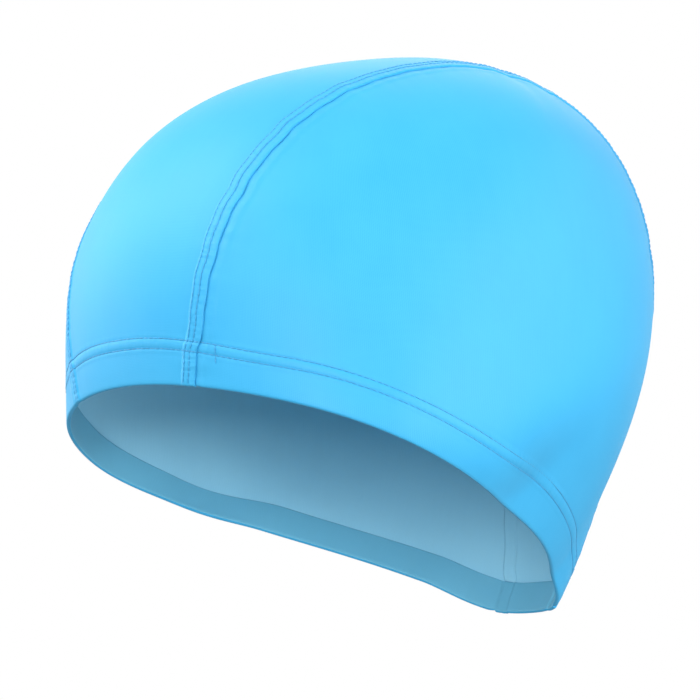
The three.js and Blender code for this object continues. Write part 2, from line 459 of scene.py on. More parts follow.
@dataclass(frozen=True)
class Seam:
    """The seam between the crown strip and a side panel, from hem to hem.

    It wavers a little, and steps towards the middle where it passes under the hem stitching.
    front_search and back_search are stations in degrees above and below the folded edge, at the
    forehead and at the nape.
    """

    form: HeadForm
    waver: float = 0.24 * MM
    waver_lengths: tuple[float, ...] = (24.5 * MM, 13.7 * MM)
    waver_phase: float = 0.7
    step: float = 1.2 * MM
    step_from: float = 15.0 * MM
    step_to: float = 10.0 * MM
    front_search: tuple[float, float] = (60.0, -75.0)
    back_search: tuple[float, float] = (120.0, 255.0)

    def offset(self, station: np.ndarray, side: Side) -> np.ndarray:
        """Distance of the seam from the middle plane.

        Args:
            station: stations in radians.
            side: the side on which the seam runs.

        Returns:
            The distance at each station.
        """
        straight = self.form.column("strip", station) * self.form.strip_half_width
        along = station * self.form.crown_reach
        phase = self.waver_phase * side.value
        straight = straight + self.waver * ripple(along, self.waver_lengths, phase)
        points = self.form.face_point(station, straight)
        height = self.form.above_edge(points) * np.linalg.norm(points, axis=-1)
        return straight - self.step * (1.0 - smooth_step(height, self.step_to, self.step_from))

    def strand(self, side: Side, share: float, inset: float) -> FacePath:
        """Path from hem to hem that keeps a share of the strip's half-width less an inset.

        Args:
            side: the side of the middle plane on which it runs.
            share: the share of the half-width.
            inset: the distance kept from the seam; below 0 it lies on the side panel.

        Returns:
            The path, from the forehead's edge to the nape's.
        """

        def curve(station: np.ndarray) -> np.ndarray:
            """Points of the path at stations."""
            offset = share * (self.offset(station, side) - inset)
            return self.form.face_point(station, side.value * offset)

        front = self.form.crossing(curve, *map(math.radians, self.front_search))
        back = self.form.crossing(curve, *map(math.radians, self.back_search))
        return FacePath(self.form, curve, front, back)


class SeamLine:
    """The seam as a row of points, for measuring how far from it the cloth lies.

    phase tells its puckers from the other seam's, and map_shift keeps the seam maps of the two
    sides apart. It has count points, and block is how many places are measured at a time.
    """

    count: int = 1400
    block: int = 2000
    middle_phase: float = 0.9

    def __init__(self, seam: Seam, side: Side) -> None:
        """Walk the seam on one side.

        Args:
            seam: the seam.
            side: the side on which it runs.
        """
        path = seam.strand(side, 1.0, 0.0)
        self.phase = self.middle_phase + side.value
        self.map_shift = float(side.value)
        self.along = np.linspace(0.0, path.length, self.count)
        self.points = path.at(self.along).point

    def nearest(self, points: np.ndarray) -> tuple[np.ndarray, np.ndarray]:
        """Distance from the seam, and how far along it, of points.

        Args:
            points: an array whose last axis is x, y, z.

        Returns:
            The distances, and the lengths along the seam at the nearest places.
        """
        flat = points.reshape(-1, 3)
        distance = np.empty(len(flat))
        along = np.empty(len(flat))
        for start in range(0, len(flat), self.block):
            part = flat[start : start + self.block]
            squared = ((part[:, None, :] - self.points[None, :, :]) ** 2).sum(axis=-1)
            best = squared.argmin(axis=1)
            distance[start : start + self.block] = np.sqrt(squared[np.arange(len(part)), best])
            along[start : start + self.block] = self.along[best]
        return distance.reshape(points.shape[:-1]), along.reshape(points.shape[:-1])


@dataclass(frozen=True)
class PullFold:
    """A short fold where the cloth pulls on a seam.

    along is its place on the seam, from the forehead's edge; reach is how far it runs into the
    side panel, width its width there and depth how deep it lies.
    """

    along: float
    reach: float
    width: float
    depth: float


@dataclass(frozen=True)
class HemCourse:
    """How the hem stitching strays from its even course, against the angle round the head.

    It stands rise above it, sways by sway, runs low by one amount beside the seam and high by
    another behind the ear. The angles are in degrees, a place and a width.
    """

    rise: float = 0.75 * MM
    sway: float = 0.15 * MM
    sway_turns: float = 7.0
    sway_phase: float = 0.5
    low: float = 1.25 * MM
    low_place: tuple[float, float] = (36.0, 15.0)
    high: float = 1.0 * MM
    high_place: tuple[float, float] = (110.0, 17.0)

    def stray(self, around: np.ndarray) -> np.ndarray:
        """Distances above the even course at angles round the head."""
        turn = np.abs(around)
        low = bump(turn, *map(math.radians, self.low_place))
        high = bump(turn, *map(math.radians, self.high_place))
        even = self.rise + self.sway * np.sin(self.sway_turns * turn + self.sway_phase)
        return even - self.low * low + self.high * high


@dataclass(frozen=True)
class Drape:
    """The faint unevenness of stretched cloth, as a broad and a finer pair of crossing waves.

    A wave is its radians per metre along x, y and z, and the angle at which it starts.
    """

    depth: float = 0.14 * MM
    broad: tuple[Wave, Wave] = ((71.0, 33.0, 0.0, 0.6), (0.0, 52.0, -41.0, 1.9))
    fine: tuple[Wave, Wave] = ((47.0, 0.0, 96.0, -0.8), (0.0, 88.0, 21.0, 0.0))
    fine_share: float = 0.6

    def height(self, points: np.ndarray) -> np.ndarray:
        """Height off the face at points."""
        broad, fine = (self.crossed(points, pair) for pair in (self.broad, self.fine))
        return self.depth * (broad + self.fine_share * fine)

    @staticmethod
    def crossed(points: np.ndarray, pair: tuple[Wave, Wave]) -> np.ndarray:
        """Product of two waves at points."""
        first, second = (np.sin(points @ np.array(wave[:3]) + wave[3]) for wave in pair)
        return first * second


@dataclass(frozen=True)
class Relief:
    """The low relief of the sewn cloth: seam margins, dips under the thread and puckers.

    The crown strip's margin is a band that lies lift above the face and slopes down over
    band_slope; its cut edge is rolled under over edge_roll and keeps edge_left of its height.
    rows are the stitch rows' distances from the seam, with a dip under each and puckers between
    them and beside the edge. The side panel dives into a groove beside the seam and lies tucked
    below the face beneath the margin; there, over thinning, its wall thins by pressed and its
    turned hem to turned_edge. around_reach turns angles round the head into lengths of hem.
    """

    cloth: float = CLOTH
    band: float = 5.1 * MM
    band_slope: float = 0.55 * MM
    lift: float = 0.5 * MM
    edge_roll: float = 1.1 * MM
    edge_left: float = 0.35
    rows: tuple[float, float] = (2.4 * MM, 4.3 * MM)
    dip: float = 0.13 * MM
    dip_width: float = 0.4 * MM
    between_width: float = 1.1 * MM
    beside: float = 1.4 * MM
    beside_width: float = 1.0 * MM
    beside_share: float = 0.7
    groove: float = 0.24 * MM
    groove_width: float = 0.55 * MM
    groove_uneven: float = 0.3
    groove_phase: float = 1.1
    shoulder: float = 0.1 * MM
    shoulder_place: tuple[float, float] = (2.6 * MM, 1.4 * MM)
    tucked: float = 0.2 * MM
    tuck_slope: float = 0.6 * MM
    pucker: float = 0.12 * MM
    pucker_lengths: tuple[float, ...] = (8.3 * MM, 5.2 * MM, 11.9 * MM)
    pucker_reach: float = 7.0 * MM
    pucker_even: float = 0.65
    pucker_swing_lengths: tuple[float, ...] = (61 * MM, 38 * MM)
    margin_pucker: float = 0.05 * MM
    margin_lengths: tuple[float, ...] = (3.1 * MM, 4.3 * MM)
    hem_rows: tuple[float, float] = (10.5 * MM, 13.7 * MM)
    hem_course: HemCourse = HemCourse()
    hem_dip: float = 0.14 * MM
    hem_dip_width: float = 0.4 * MM
    hem_pucker: float = 0.06 * MM
    hem_pucker_reach: float = 3.2 * MM
    hem_lengths: tuple[float, ...] = (6.1 * MM, 3.7 * MM)
    hem_phase: float = 0.4
    hem_swell: float = 0.14 * MM
    hem_swell_width: float = 1.2 * MM
    lower_swell: float = 0.084 * MM
    lower_swell_at: float = 0.55
    lower_swell_width: float = 4.5 * MM
    around_reach: float = 90 * MM
    pressed: float = 0.08 * MM
    turned_edge: float = 0.28 * MM
    thinning: tuple[float, float] = (-3.0 * MM, 0.3 * MM)
    fold_fade: float = 4.5 * MM
    fold_lean: float = 0.35
    folds: tuple[PullFold, ...] = (
        PullFold(181 * MM, 20 * MM, 3.6 * MM, 0.55 * MM),
        PullFold(196 * MM, 11 * MM, 2.2 * MM, 0.3 * MM),
        PullFold(62 * MM, 12 * MM, 3.0 * MM, 0.18 * MM),
        PullFold(262 * MM, 13 * MM, 3.2 * MM, 0.3 * MM),
        PullFold(108 * MM, 9 * MM, 2.4 * MM, 0.15 * MM),
    )
    unevenness: Drape = Drape()

    def hem(self, from_edge: np.ndarray, around: np.ndarray) -> np.ndarray:
        """Height of the hem's relief.

        Args:
            from_edge: distances up from the folded edge.
            around: angles round the head.

        Returns:
            The height off the face, positive outwards.
        """
        low, high = self.hem_rows
        between = (low + high) / 2
        level = from_edge - self.hem_course.stray(around)
        height = self.hem_swell * bump(level, between, self.hem_swell_width)
        lower = bump(from_edge, self.lower_swell_at * low, self.lower_swell_width)
        height = height + self.lower_swell * lower
        for row in self.hem_rows:
            height = height - self.hem_dip * bump(level, row, self.hem_dip_width)
        near = bump(level, between, self.hem_pucker_reach)
        wave = ripple(around * self.around_reach, self.hem_lengths, self.hem_phase)
        return height + self.hem_pucker * near * wave

    def hem_place(self, from_edge: np.ndarray, around: np.ndarray) -> np.ndarray:
        """The hem map's two distances: up from the stitching's course, and along the hem."""
        return pairs(from_edge - self.hem_course.stray(around), around * self.around_reach)

    def puckers(self, distance: np.ndarray, along: np.ndarray, phase: float) -> np.ndarray:
        """Height of the puckers on both sides of a seam.

        Args:
            distance: distance from the seam.
            along: distance along it.
            phase: a shift that tells one seam from another.

        Returns:
            The height off the face.
        """
        swing = ripple(along, self.pucker_swing_lengths, phase)
        strength = self.pucker_even + (1.0 - self.pucker_even) * swing
        wave = ripple(along, self.pucker_lengths, phase)
        return self.pucker * strength * wave * np.exp(-((distance / self.pucker_reach) ** 2))

    def margin_base(self, distance: np.ndarray) -> np.ndarray:
        """Height at which the crown strip's margin lies, with its edge square.

        Args:
            distance: distance from the seam.

        Returns:
            The height off the face.
        """
        slope = self.band_slope
        return self.lift * (1.0 - smooth_step(distance, self.band - slope, self.band + slope))

    def margin(self, distance: np.ndarray, along: np.ndarray, phase: float) -> np.ndarray:
        """Height of the crown strip's sewn margin, with its edge rolled under.

        Args:
            distance: distance from the seam.
            along: distance along it.
            phase: a shift that tells one seam from another.

        Returns:
            The height off the face.
        """
        inward = np.clip(distance / self.edge_roll, 0.0, 1.0)
        roll = np.sqrt(1.0 - (1.0 - inward) ** 2)
        height = self.margin_base(distance) * (self.edge_left + (1 - self.edge_left) * roll)
        for row in self.rows:
            height = height - self.dip * bump(distance, row, self.dip_width)
        swell = bump(distance, sum(self.rows) / 2, self.between_width)
        swell = swell + self.beside_share * bump(distance, self.beside, self.beside_width)
        ladder = ripple(along, self.margin_lengths, phase)
        return height + self.margin_pucker * swell * ladder

    def panel_edge(self, inward: np.ndarray, along: np.ndarray, phase: float) -> np.ndarray:
        """Height of a side panel beside the seam, where it dives under the margin.

        Args:
            inward: distance from the seam towards the middle; below 0 on the open panel.
            along: distance along the seam.
            phase: a shift that tells one seam from another.

        Returns:
            The height off the face, below 0 in the groove.
        """
        distance = np.maximum(-inward, 0.0)
        wave = ripple(along, self.pucker_lengths, phase + self.groove_phase)
        uneven = 1.0 + self.groove_uneven * wave
        height = -self.groove * uneven * np.exp(-distance / self.groove_width)
        height = height - self.tucked * smooth_step(inward, 0.0, self.tuck_slope)
        return height + self.shoulder * bump(distance, *self.shoulder_place)

    def pulls(self, inward: np.ndarray, along: np.ndarray) -> np.ndarray:
        """Height of the pull folds, which run out into the panel and fade under the strip.

        Args:
            inward: distance from the seam towards the middle; below 0 on the open panel.
            along: distance along the seam.

        Returns:
            The height off the face, below 0 in a fold.
        """
        distance = np.maximum(-inward, 0.0)
        fade = np.exp(-((np.maximum(inward, 0.0) / self.fold_fade) ** 2))
        height = np.zeros_like(distance)
        for fold in self.folds:
            lean = along - fold.along - self.fold_lean * distance
            narrow = fold.width * (1.0 + distance / fold.reach)
            crease = np.exp(-((lean / narrow) ** 2)) * np.exp(-((distance / fold.reach) ** 2))
            height = height - fold.depth * crease * fade
        return height

    def shared(
        self, points: np.ndarray, inward: np.ndarray, along: np.ndarray, phase: float
    ) -> np.ndarray:
        """Height that every layer follows: puckers, pull folds and broad unevenness.

        Args:
            points: the places on the face.
            inward: distance from the seam towards the middle; below 0 on the open panel.
            along: distance along the seam.
            phase: a shift that tells one seam from another.

        Returns:
            The height off the face.
        """
        height = self.puckers(inward, along, phase) + self.unevenness.height(points)
        return height + self.pulls(inward, along)


@dataclass(frozen=True)
class Surface:
    """Heights of a cloth body's two skins at some places, with where the places lie.

    turned is the thickness of a layer turned inside there. seam holds the distance from the
    seam, towards the middle, and the distance along it; hem the distance from the folded edge
    and the distance along that.
    """

    top: np.ndarray
    under: np.ndarray
    turned: np.ndarray
    seam: np.ndarray
    hem: np.ndarray


@dataclass(frozen=True)
class FaceGrid:
    """A cloth body before it is a mesh: both skins as columns of rows, with their maps.

    face and back are arrays of columns by rows by x, y, z. Each map gives every point two
    distances in metres. turned counts the rows turned inside at the start and at the end.
    """

    face: np.ndarray
    back: np.ndarray
    maps: dict[ClothMap, np.ndarray]
    turned: tuple[int, int]

    def mesh(self, name: str, form: HeadForm) -> bpy.types.Object:
        """Make the closed body.

        Args:
            name: the object's name.
            form: the head form, which gives the frame.

        Returns:
            The object, its faces numbered for their finish by ClothFace.
        """
        count, rows = self.face.shape[:2]
        points = np.concatenate([self.face.reshape(-1, 3), self.back.reshape(-1, 3)])
        out, inn = np.arange(2 * count * rows).reshape(2, count, rows)

        def quads(*corners: np.ndarray) -> np.ndarray:
            """Quads whose corners are four equal grids of point numbers."""
            return np.stack([corner.ravel() for corner in corners], axis=1)

        skin = quads(out[:-1, :-1], out[1:, :-1], out[1:, 1:], out[:-1, 1:])
        lining = quads(inn[:-1, :-1], inn[:-1, 1:], inn[1:, 1:], inn[1:, :-1])
        rims = [
            quads(out[:-1, 0], inn[:-1, 0], inn[1:, 0], out[1:, 0]),
            quads(out[:-1, -1], out[1:, -1], inn[1:, -1], inn[:-1, -1]),
            quads(out[0, :-1], out[0, 1:], inn[0, 1:], inn[0, :-1]),
            quads(out[-1, :-1], inn[-1, :-1], inn[-1, 1:], out[-1, 1:]),
        ]
        faces = np.concatenate([skin, lining, *rims])
        if self.turned_inward(points, skin):
            faces = faces[:, ::-1]
        mesh = bpy.data.meshes.new(name)
        mesh.from_pydata(form.placed(points).tolist(), [], faces.tolist())
        smooth = np.ones(len(faces), dtype=bool)
        smooth[2 * len(skin) :] = False
        index = np.full(len(faces), ClothFace.OUTER.value, dtype=np.int32)
        index[len(skin) : 2 * len(skin)] = ClothFace.INNER.value
        row = np.tile(np.arange(rows - 1), count - 1)
        inside = (row < self.turned[0]) | (row >= rows - 1 - self.turned[1])
        index[: len(skin)][inside] = ClothFace.TURNED.value
        index[-2 * (rows - 1) :][np.tile(inside[: rows - 1], 2)] = ClothFace.TURNED.value
        mesh.polygons.foreach_set("use_smooth", smooth)
        mesh.polygons.foreach_set("material_index", index)
        for kind, values in self.maps.items():
            flat = values.reshape(-1, 2)
            add_map(mesh, kind.value, np.concatenate([flat, flat]))
        mesh.update()
        return add_object(name, mesh)

    @staticmethod
    def turned_inward(points: np.ndarray, skin: np.ndarray) -> bool:
        """Whether the outer skin's quads face the middle of the head."""
        a, b, c, d = (points[skin[:, corner]] for corner in range(4))
        middle = (a + b + c + d) / 4.0
        return float((np.cross(c - a, d - b) * middle).sum()) < 0.0


def add_map(mesh: bpy.types.Mesh, name: str, values: np.ndarray) -> None:
    """Give a mesh a map of two distances.

    Args:
        mesh: the mesh.
        name: the map's name.
        values: the two distances at each point.
    """
    corners = np.empty(len(mesh.loops), dtype=np.int32)
    mesh.loops.foreach_get("vertex_index", corners)
    layer = mesh.uv_layers.new(name=name)
    layer.data.foreach_set("uv", values[corners].astype(np.float32).ravel())


def add_object(name: str, mesh: bpy.types.Mesh) -> bpy.types.Object:
    """Put a mesh into the scene.

    Args:
        name: the object's name.
        mesh: its mesh.

    Returns:
        The object.
    """
    piece = bpy.data.objects.new(name, mesh)
    bpy.context.scene.collection.objects.link(piece)
    return piece


class Sketch:
    """A material's node tree, built a node at a time."""

    def __init__(self, name: str) -> None:
        """Start an empty material.

        Args:
            name: the material's name.
        """
        self.material = bpy.data.materials.new(name)
        self.material.use_nodes = True
        self.tree = self.material.node_tree
        self.tree.nodes.clear()

    def node(self, kind: str, settings: dict | None = None, **inputs: object) -> bpy.types.Node:
        """Add a node.

        Args:
            kind: the node's type name.
            settings: its attributes.
            **inputs: its sockets by name, with underscores for spaces; a socket is linked.

        Returns:
            The node.
        """
        node = self.tree.nodes.new(kind)
        for name, value in (settings or {}).items():
            setattr(node, name, value)
        for name, value in inputs.items():
            socket = self.socket(node, name.replace("_", " "))
            if isinstance(value, bpy.types.NodeSocket):
                self.tree.links.new(value, socket)
            else:
                socket.default_value = value
        return node

    @staticmethod
    def socket(node: bpy.types.Node, name: str) -> bpy.types.NodeSocket:
        """The node's enabled input of a name, or the input of a number such as 'in 1'."""
        if name.startswith("in "):
            return node.inputs[int(name[3:])]
        return next(s for s in node.inputs if s.name == name and s.enabled)

    def math(self, operation: str, first: object, second: object = 0.0) -> bpy.types.NodeSocket:
        """A sum or other plain step on two numbers.

        Args:
            operation: the step's name.
            first: the first number or socket.
            second: the second.

        Returns:
            The result's socket.
        """
        node = self.node("ShaderNodeMath", {"operation": operation}, in_0=first, in_1=second)
        return node.outputs[0]

    def rib(self, across: bpy.types.NodeSocket, pitch: float) -> bpy.types.NodeSocket:
        """Rounded ribs at a pitch.

        Args:
            across: distance across the ribs.
            pitch: from one rib to the next.

        Returns:
            The ribs' height, from 0 to 1.
        """
        wave = self.math("SINE", self.math("MULTIPLY", across, math.tau / pitch))
        return self.math("ADD", self.math("MULTIPLY", wave, 0.5), 0.5)

    def ramp(
        self,
        value: bpy.types.NodeSocket,
        first: Colour,
        second: Colour,
        places: tuple[float, float] = (0.0, 1.0),
    ) -> bpy.types.NodeSocket:
        """A colour that runs from one to another.

        Args:
            value: the socket that leads it.
            first: the colour at the first place and below.
            second: the colour at the second place and above.
            places: the two values between which it runs.

        Returns:
            The colour's socket.
        """
        node = self.node("ShaderNodeValToRGB", Fac=value)
        for element, colour, place in zip(node.color_ramp.elements, (first, second), places):
            element.position = place
            element.color = colour
        return node.outputs["Color"]

    def finish(self, surface: bpy.types.NodeSocket) -> bpy.types.Material:
        """Close the material with its surface.

        Args:
            surface: the shader's socket.

        Returns:
            The material.
        """
        self.node("ShaderNodeOutputMaterial", Surface=surface)
        return self.material


@dataclass(frozen=True)
class Noise:
    """A noise pattern; scale is its repeats in a unit of the place that leads it."""

    scale: float
    detail: float = 2.0
    roughness: float = 0.5

    def pattern(self, sketch: Sketch, place: bpy.types.NodeSocket) -> bpy.types.NodeSocket:
        """The pattern's value.

        Args:
            sketch: the material.
            place: the place's socket.

        Returns:
            The value's socket, from 0 to 1.
        """
        node = sketch.node(
            "ShaderNodeTexNoise",
            Vector=place,
            Scale=self.scale,
            Detail=self.detail,
            Roughness=self.roughness,
        )
        return node.outputs["Fac"]


@dataclass(frozen=True)
class Gather:
    """Fine puckers that sewing draws across a seam or a hem.

    They stand between the distances low and high from the line that the map measures and fade
    over the distance fade. They repeat about every pitch along it and every reach across it.
    """

    cloth_map: ClothMap
    low: float
    high: float
    fade: float
    pitch: float
    reach: float
    depth: float
    noise: Noise = Noise(1.0, 1.5)
    strength: float = 1.0

    def height(self, sketch: Sketch) -> bpy.types.NodeSocket:
        """The puckers' height as a socket."""
        flat = sketch.node("ShaderNodeUVMap", {"uv_map": self.cloth_map.value}).outputs["UV"]
        split = sketch.node("ShaderNodeSeparateXYZ", Vector=flat)
        across = sketch.math("MULTIPLY", split.outputs["X"], 1.0 / self.reach)
        along = sketch.math("MULTIPLY", split.outputs["Y"], 1.0 / self.pitch)
        place = sketch.node("ShaderNodeCombineXYZ", X=across, Y=along)
        noise = self.noise.pattern(sketch, place.outputs["Vector"])
        rise = self.step(sketch, split.outputs["X"], self.low - self.fade, self.low)
        fall = self.step(sketch, split.outputs["X"], self.high + self.fade, self.high)
        window = sketch.math("MULTIPLY", rise, fall)
        return sketch.math("MULTIPLY", noise, window)

    @staticmethod
    def step(
        sketch: Sketch, value: bpy.types.NodeSocket, off: float, full: float
    ) -> bpy.types.NodeSocket:
        """A smooth step from 0 at one value to 1 at another.

        Args:
            sketch: the material.
            value: the distance.
            off: the distance at which the step is 0.
            full: the distance at which it is 1.

        Returns:
            The step's socket.
        """
        node = sketch.node("ShaderNodeMapRange", {"interpolation_type": "SMOOTHSTEP"}, Value=value)
        node.inputs["From Min"].default_value = off
        node.inputs["From Max"].default_value = full
        return node.outputs["Result"]


@dataclass(frozen=True)
class KnitFinish:
    """One face of the stretch knit: fine wales and courses, faint mottling and a soft gloss.

    The colour runs from deep to light between the two values ramp of a mix of a cloud and streaks
    along the cloth, which are random tone, and the knit's own loops, which are painted shade:
    darker in the valleys between the loops. Scales are in repeats per metre.
    """

    name: str
    light: Colour
    deep: Colour
    roughness: float
    specular: float
    sheen: float
    sheen_tint: Colour
    coat: float = 0.0
    wale: float = 0.62 * MM
    course: float = 0.48 * MM
    course_floor: float = 0.55
    knit_strength: float = 0.25
    knit_depth: float = 0.06 * MM
    fibre: Noise = Noise(2600.0, 2.0, 0.6)
    fibre_share: float = 0.35
    cloud: Noise = Noise(58.0, 4.0, 0.55)
    cloud_share: float = 0.75
    streak: Noise = Noise(1.0)
    streak_scale: tuple[float, float] = (420.0, 34.0)
    streak_share: float = 0.25
    loop_painted_shade: float = 0.1
    ramp: tuple[float, float] = (0.3, 0.68)
    gloss_swing: float = 0.12
    sheen_roughness: float = 0.45
    coat_roughness: float = 0.42
    gathers: tuple[Gather, ...] = ()

    def material(self) -> bpy.types.Material:
        """The finish as a material."""
        sketch = Sketch(self.name)
        flat = sketch.node("ShaderNodeUVMap", {"uv_map": "cloth"}).outputs["UV"]
        split = sketch.node("ShaderNodeSeparateXYZ", Vector=flat)
        place = sketch.node("ShaderNodeTexCoord").outputs["Object"]
        wales = sketch.rib(split.outputs["X"], self.wale)
        courses = sketch.rib(split.outputs["Y"], self.course)
        loops = sketch.math("MULTIPLY", wales, sketch.math("ADD", courses, self.course_floor))
        fibre = self.fibre.pattern(sketch, place)
        cloud = self.cloud.pattern(sketch, place)
        streak = sketch.math("MULTIPLY", self.streaks(sketch, split), self.streak_share)
        mottle = sketch.math("MULTIPLY", cloud, self.cloud_share)
        mottle = sketch.math("ADD", mottle, streak)
        # Painted shade: the loops' share darkens the colour in the valleys between the loops, the
        # same pattern that the bump raises
        shade = sketch.math("ADD", mottle, sketch.math("MULTIPLY", loops, self.loop_painted_shade))
        colour = sketch.ramp(shade, self.deep, self.light, self.ramp)
        fluff = sketch.math("MULTIPLY", fibre, self.fibre_share)
        relief = sketch.node(
            "ShaderNodeBump",
            Strength=self.knit_strength,
            Distance=self.knit_depth,
            Height=sketch.math("ADD", loops, fluff),
        )
        for gather in self.gathers:
            relief = sketch.node(
                "ShaderNodeBump",
                Strength=gather.strength,
                Distance=gather.depth,
                Height=gather.height(sketch),
                Normal=relief.outputs["Normal"],
            )
        rough = sketch.math("MULTIPLY_ADD", cloud, self.gloss_swing)
        rough.node.inputs[2].default_value = self.roughness - self.gloss_swing / 2
        shader = sketch.node(
            "ShaderNodeBsdfPrincipled",
            Base_Color=colour,
            Roughness=rough,
            Normal=relief.outputs["Normal"],
            Specular_IOR_Level=self.specular,
            Sheen_Weight=self.sheen,
            Sheen_Roughness=self.sheen_roughness,
            Sheen_Tint=self.sheen_tint,
            Coat_Weight=self.coat,
            Coat_Roughness=self.coat_roughness,
        )
        return sketch.finish(shader.outputs["BSDF"])

    def streaks(self, sketch: Sketch, split: bpy.types.Node) -> bpy.types.NodeSocket:
        """Faint lengthwise streaks of uneven yarn.

        Args:
            sketch: the material.
            split: the node that gives the flat cloth's two distances.

        Returns:
            The streaks, from 0 to 1.
        """
        across = sketch.math("MULTIPLY", split.outputs["X"], self.streak_scale[0])
        along = sketch.math("MULTIPLY", split.outputs["Y"], self.streak_scale[1])
        stretched = sketch.node("ShaderNodeCombineXYZ", X=across, Y=along)
        return self.streak.pattern(sketch, stretched.outputs["Vector"])


@dataclass(frozen=True)
class ThreadFinish:
    """Polyester sewing thread: two plies twisted together, with a slight gloss, and painted shade
    that darkens its colour into the grooves between the plies.
    """

    name: str
    light: Colour
    deep: Colour
    roughness: float = 0.5
    sheen: float = 0.1
    twist: float = 0.5 * MM
    ply_depth: float = 0.05 * MM
    ply_strength: float = 0.5

    def material(self) -> bpy.types.Material:
        """The finish as a material."""
        sketch = Sketch(self.name)
        flat = sketch.node("ShaderNodeUVMap", {"uv_map": "thread"}).outputs["UV"]
        split = sketch.node("ShaderNodeSeparateXYZ", Vector=flat)
        lead = sketch.math("MULTIPLY", split.outputs["X"], 1.0 / self.twist)
        turned = sketch.math("ADD", lead, split.outputs["Y"])
        ply = sketch.rib(turned, 1.0)
        relief = sketch.node(
            "ShaderNodeBump", Strength=self.ply_strength, Distance=self.ply_depth, Height=ply
        )
        # Painted shade: the colour runs from deep in the grooves between the plies to light on
        # their crests
        shader = sketch.node(
            "ShaderNodeBsdfPrincipled",
            Base_Color=sketch.ramp(ply, self.deep, self.light),
            Roughness=self.roughness,
            Normal=relief.outputs["Normal"],
            Sheen_Weight=self.sheen,
        )
        return sketch.finish(shader.outputs["BSDF"])


@dataclass(frozen=True)
class FloorFinish:
    """Matt near-white studio floor with a faint unevenness."""

    name: str = "pale_floor"
    light: Colour = (0.8, 0.8, 0.8, 1.0)
    deep: Colour = (0.77, 0.77, 0.77, 1.0)
    cloud: Noise = Noise(0.7)
    roughness: float = 0.9

    def material(self) -> bpy.types.Material:
        """The finish as a material."""
        sketch = Sketch(self.name)
        place = sketch.node("ShaderNodeTexCoord").outputs["Object"]
        colour = sketch.ramp(self.cloud.pattern(sketch, place), self.deep, self.light)
        shader = sketch.node(
            "ShaderNodeBsdfPrincipled", Base_Color=colour, Roughness=self.roughness
        )
        return sketch.finish(shader.outputs["BSDF"])


@dataclass
class Wardrobe:
    """The cap's finishes as materials: cloth outside, inside and turned inside, and thread. The
    turned-inside finish is a copy of the outer knit with painted shade.
    """

    outer: bpy.types.Material = field(init=False)
    inner: bpy.types.Material = field(init=False)
    # The turned-inside cloth: the outer knit recoloured greyer, painted shade
    turned: bpy.types.Material = field(init=False)
    thread: bpy.types.Material = field(init=False)

    def __post_init__(self) -> None:
        """Make the materials."""
        self.outer = KnitFinish(
            "coated_knit",
            light=(0.043, 0.382, 0.69, 1.0),
            deep=(0.037, 0.36, 0.665, 1.0),
            roughness=0.52,
            specular=0.24,
            sheen=0.06,
            sheen_tint=(0.6, 0.92, 1.0, 1.0),
            coat=0.02,
            gathers=(
                Gather(
                    ClothMap.SEAM,
                    low=0.4 * MM,
                    high=4.6 * MM,
                    fade=1.3 * MM,
                    pitch=1.5 * MM,
                    reach=6 * MM,
                    depth=0.3 * MM,
                ),
                Gather(
                    ClothMap.SEAM,
                    low=-2.5 * MM,
                    high=-0.3 * MM,
                    fade=2 * MM,
                    pitch=3.5 * MM,
                    reach=7 * MM,
                    depth=0.2 * MM,
                ),
                Gather(
                    ClothMap.HEM,
                    low=10 * MM,
                    high=14.2 * MM,
                    fade=1.6 * MM,
                    pitch=1.7 * MM,
                    reach=6 * MM,
                    depth=0.14 * MM,
                ),
            ),
        ).material()
        self.inner = KnitFinish(
            "knit_reverse",
            light=(0.36, 0.75, 0.95, 1.0),
            deep=(0.34, 0.72, 0.92, 1.0),
            roughness=0.75,
            specular=0.2,
            sheen=0.1,
            sheen_tint=(0.85, 0.95, 1.0, 1.0),
        ).material()
        # Painted shade: the turned-up layer shows the cloth's outer face, here a greyer copy of
        # the outer knit coloured as that face looks in the shade inside the cap
        self.turned = KnitFinish(
            "turned_knit",
            light=(0.16, 0.5, 0.7, 1.0),
            deep=(0.15, 0.48, 0.67, 1.0),
            roughness=0.65,
            specular=0.3,
            sheen=0.1,
            sheen_tint=(0.8, 0.95, 1.0, 1.0),
        ).material()
        # The thread's blue, darker than the cloth's, is partly its own tone and partly painted
        # shade of the dips that the rows lie in
        self.thread = ThreadFinish(
            "blue_thread", light=(0.04, 0.34, 0.62, 1.0), deep=(0.02, 0.24, 0.5, 1.0)
        ).material()

    def dress(self, piece: bpy.types.Object) -> None:
        """Give a cloth piece its finishes, in the order of ClothFace."""
        for material in (self.outer, self.inner, self.turned):
            piece.data.materials.append(material)


def spread(*stops: tuple[float, float]) -> np.ndarray:
    """Distances with a changing pitch.

    Args:
        *stops: pairs of a distance and the pitch kept up to it; the first pair's is the start.

    Returns:
        The distances, in order.
    """
    values = [stops[0][0]]
    for (start, _), (end, pitch) in zip(stops, stops[1:]):
        steps = max(1, round((end - start) / pitch))
        values.extend(start + (end - start) * step / steps for step in range(1, steps + 1))
    return np.array(values)


